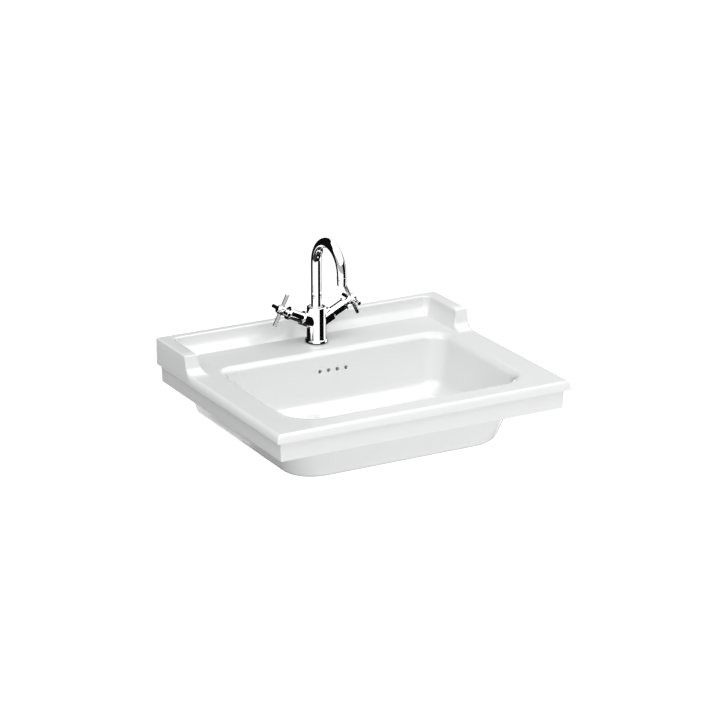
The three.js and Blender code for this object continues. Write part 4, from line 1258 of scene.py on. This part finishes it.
back_low, back_high = reach("waste_backnut")
back_radius = (back_high.x - back_low.x) / 2
backnut = nut("back_nut", back_radius, 8, back_low.z, back_high.z, tube_outer + 0.2)
finished(set_at(backnut, waste_place), chrome, "basin_and_tap", "chrome", "waste_backnut")

seal_low, seal_high = reach("waste_lower_seal")
seal_radius = (seal_high.x - seal_low.x) / 2
washer = turned("lower_seal", [
    (tube_outer + 0.2, seal_low.z),
    (seal_radius - 0.8, seal_low.z),
    (seal_radius, seal_low.z + 0.8),
    (seal_radius - 0.3, seal_high.z - 0.5),
    (seal_radius - 1.2, seal_high.z),
    (outlet_radius + 3, seal_high.z),
    (tube_outer + 0.2, seal_high.z),
])
rubber = moulded("black_rubber", (0.022, 0.022, 0.023), (0.035, 0.034, 0.033), 0.55)
finished(set_at(washer, waste_place), rubber, "basin_and_tap", "rubber", "waste_lower_seal")

plug_low, plug_high = reach("plug_cap")
plug_radius = (plug_high.x - plug_low.x) / 2
crown = plug_high.z - plug_low.z - 4
plug_rim = plug_high.z - crown
plug_dome = []
for step in range(1, 12):
    inward = 1 - step / 12
    plug_dome.append(((plug_radius - 1.2) * inward, plug_rim + crown * (1 - inward**2)))
plug = turned("plug_disc", [
    (0, plug_low.z + 1.5),
    (6, plug_low.z + 1.5),
    (6.5, plug_low.z),
    (plug_radius - 0.4, plug_low.z),
    (plug_radius, plug_low.z + 0.4),
    (plug_radius, plug_rim - 2),
    *eased_edge(plug_radius, plug_rim, 1.2),
    *plug_dome,
    (0, plug_high.z),
], 112)
finished(set_at(plug, waste_place), chrome, "plug", "chrome", "plug_cap")

ring_low, ring_high = reach("plug_seal")
section = (ring_high.z - ring_low.z) / 2
ring_middle = (ring_high.x - ring_low.x) / 2 - section
ring_profile = []
for step in range(20):
    turn = 2 * math.pi * step / 20
    z = ring_low.z + section * (1 + math.sin(turn))
    ring_profile.append((ring_middle + section * math.cos(turn), z))
plug_ring = turned("plug_ring", ring_profile, 112, crease=60)
finished(set_at(plug_ring, waste_place), rubber, "plug", "rubber", "plug_seal")

# The coil under the plug's stem has a closed turn at each end. It is built at one length, though the real one
# shortens as the plug goes down.
coil_low, coil_high = reach("plug_spring")
wire_radius = 0.45
coil_radius = (coil_high.x - coil_low.x) / 2 - wire_radius
coil_turns = 7
turn_steps = 28
coil_height = coil_high.z - coil_low.z
pitch = (coil_height - 6 * wire_radius) / (coil_turns - 2)
coil = []
for step in range(coil_turns * turn_steps + 1):
    turned_by = step / turn_steps
    open_turns = min(max(turned_by - 1, 0), coil_turns - 2)
    climb = pitch * open_turns + 2 * wire_radius * (turned_by - open_turns)
    rise = coil_low.z + wire_radius + climb
    around = 2 * math.pi * turned_by
    coil.append([
        ((coil_radius + wire_radius * math.cos(turn)) * math.cos(around),
         (coil_radius + wire_radius * math.cos(turn)) * math.sin(around),
         rise + wire_radius * math.sin(turn))
        for turn in (math.radians(36 * side) for side in range(10))
    ])
spring = finished(
    set_at(smoothed(skinned("return_spring", coil), 50), waste_place),
    steel,
    "basin_and_tap",
    "steel",
    "plug_spring",
)
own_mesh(spring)

# ---- Pieces that keep their working shape --------------------------------------------------------
# Cartridges, spindles, O-rings, washers, screws and the plug's latch already have their true shape,
# so they only take their finishes.

white_plastic = moulded("white_moulding", (0.78, 0.78, 0.76), (0.72, 0.72, 0.7), 0.35)
finishes = {
    "ceramic": glaze,
    "chrome": chrome,
    "brass": brass,
    "steel": steel,
    "rubber": rubber,
    "white_plastic": white_plastic,
    "black_plastic": black_plastic,
}
for entry in frame["record"]["subparts"]:
    for place in frame["nodes"][entry["node"]].material_slots:
        place.material = finishes[entry["material_slot"]].material

low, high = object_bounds()
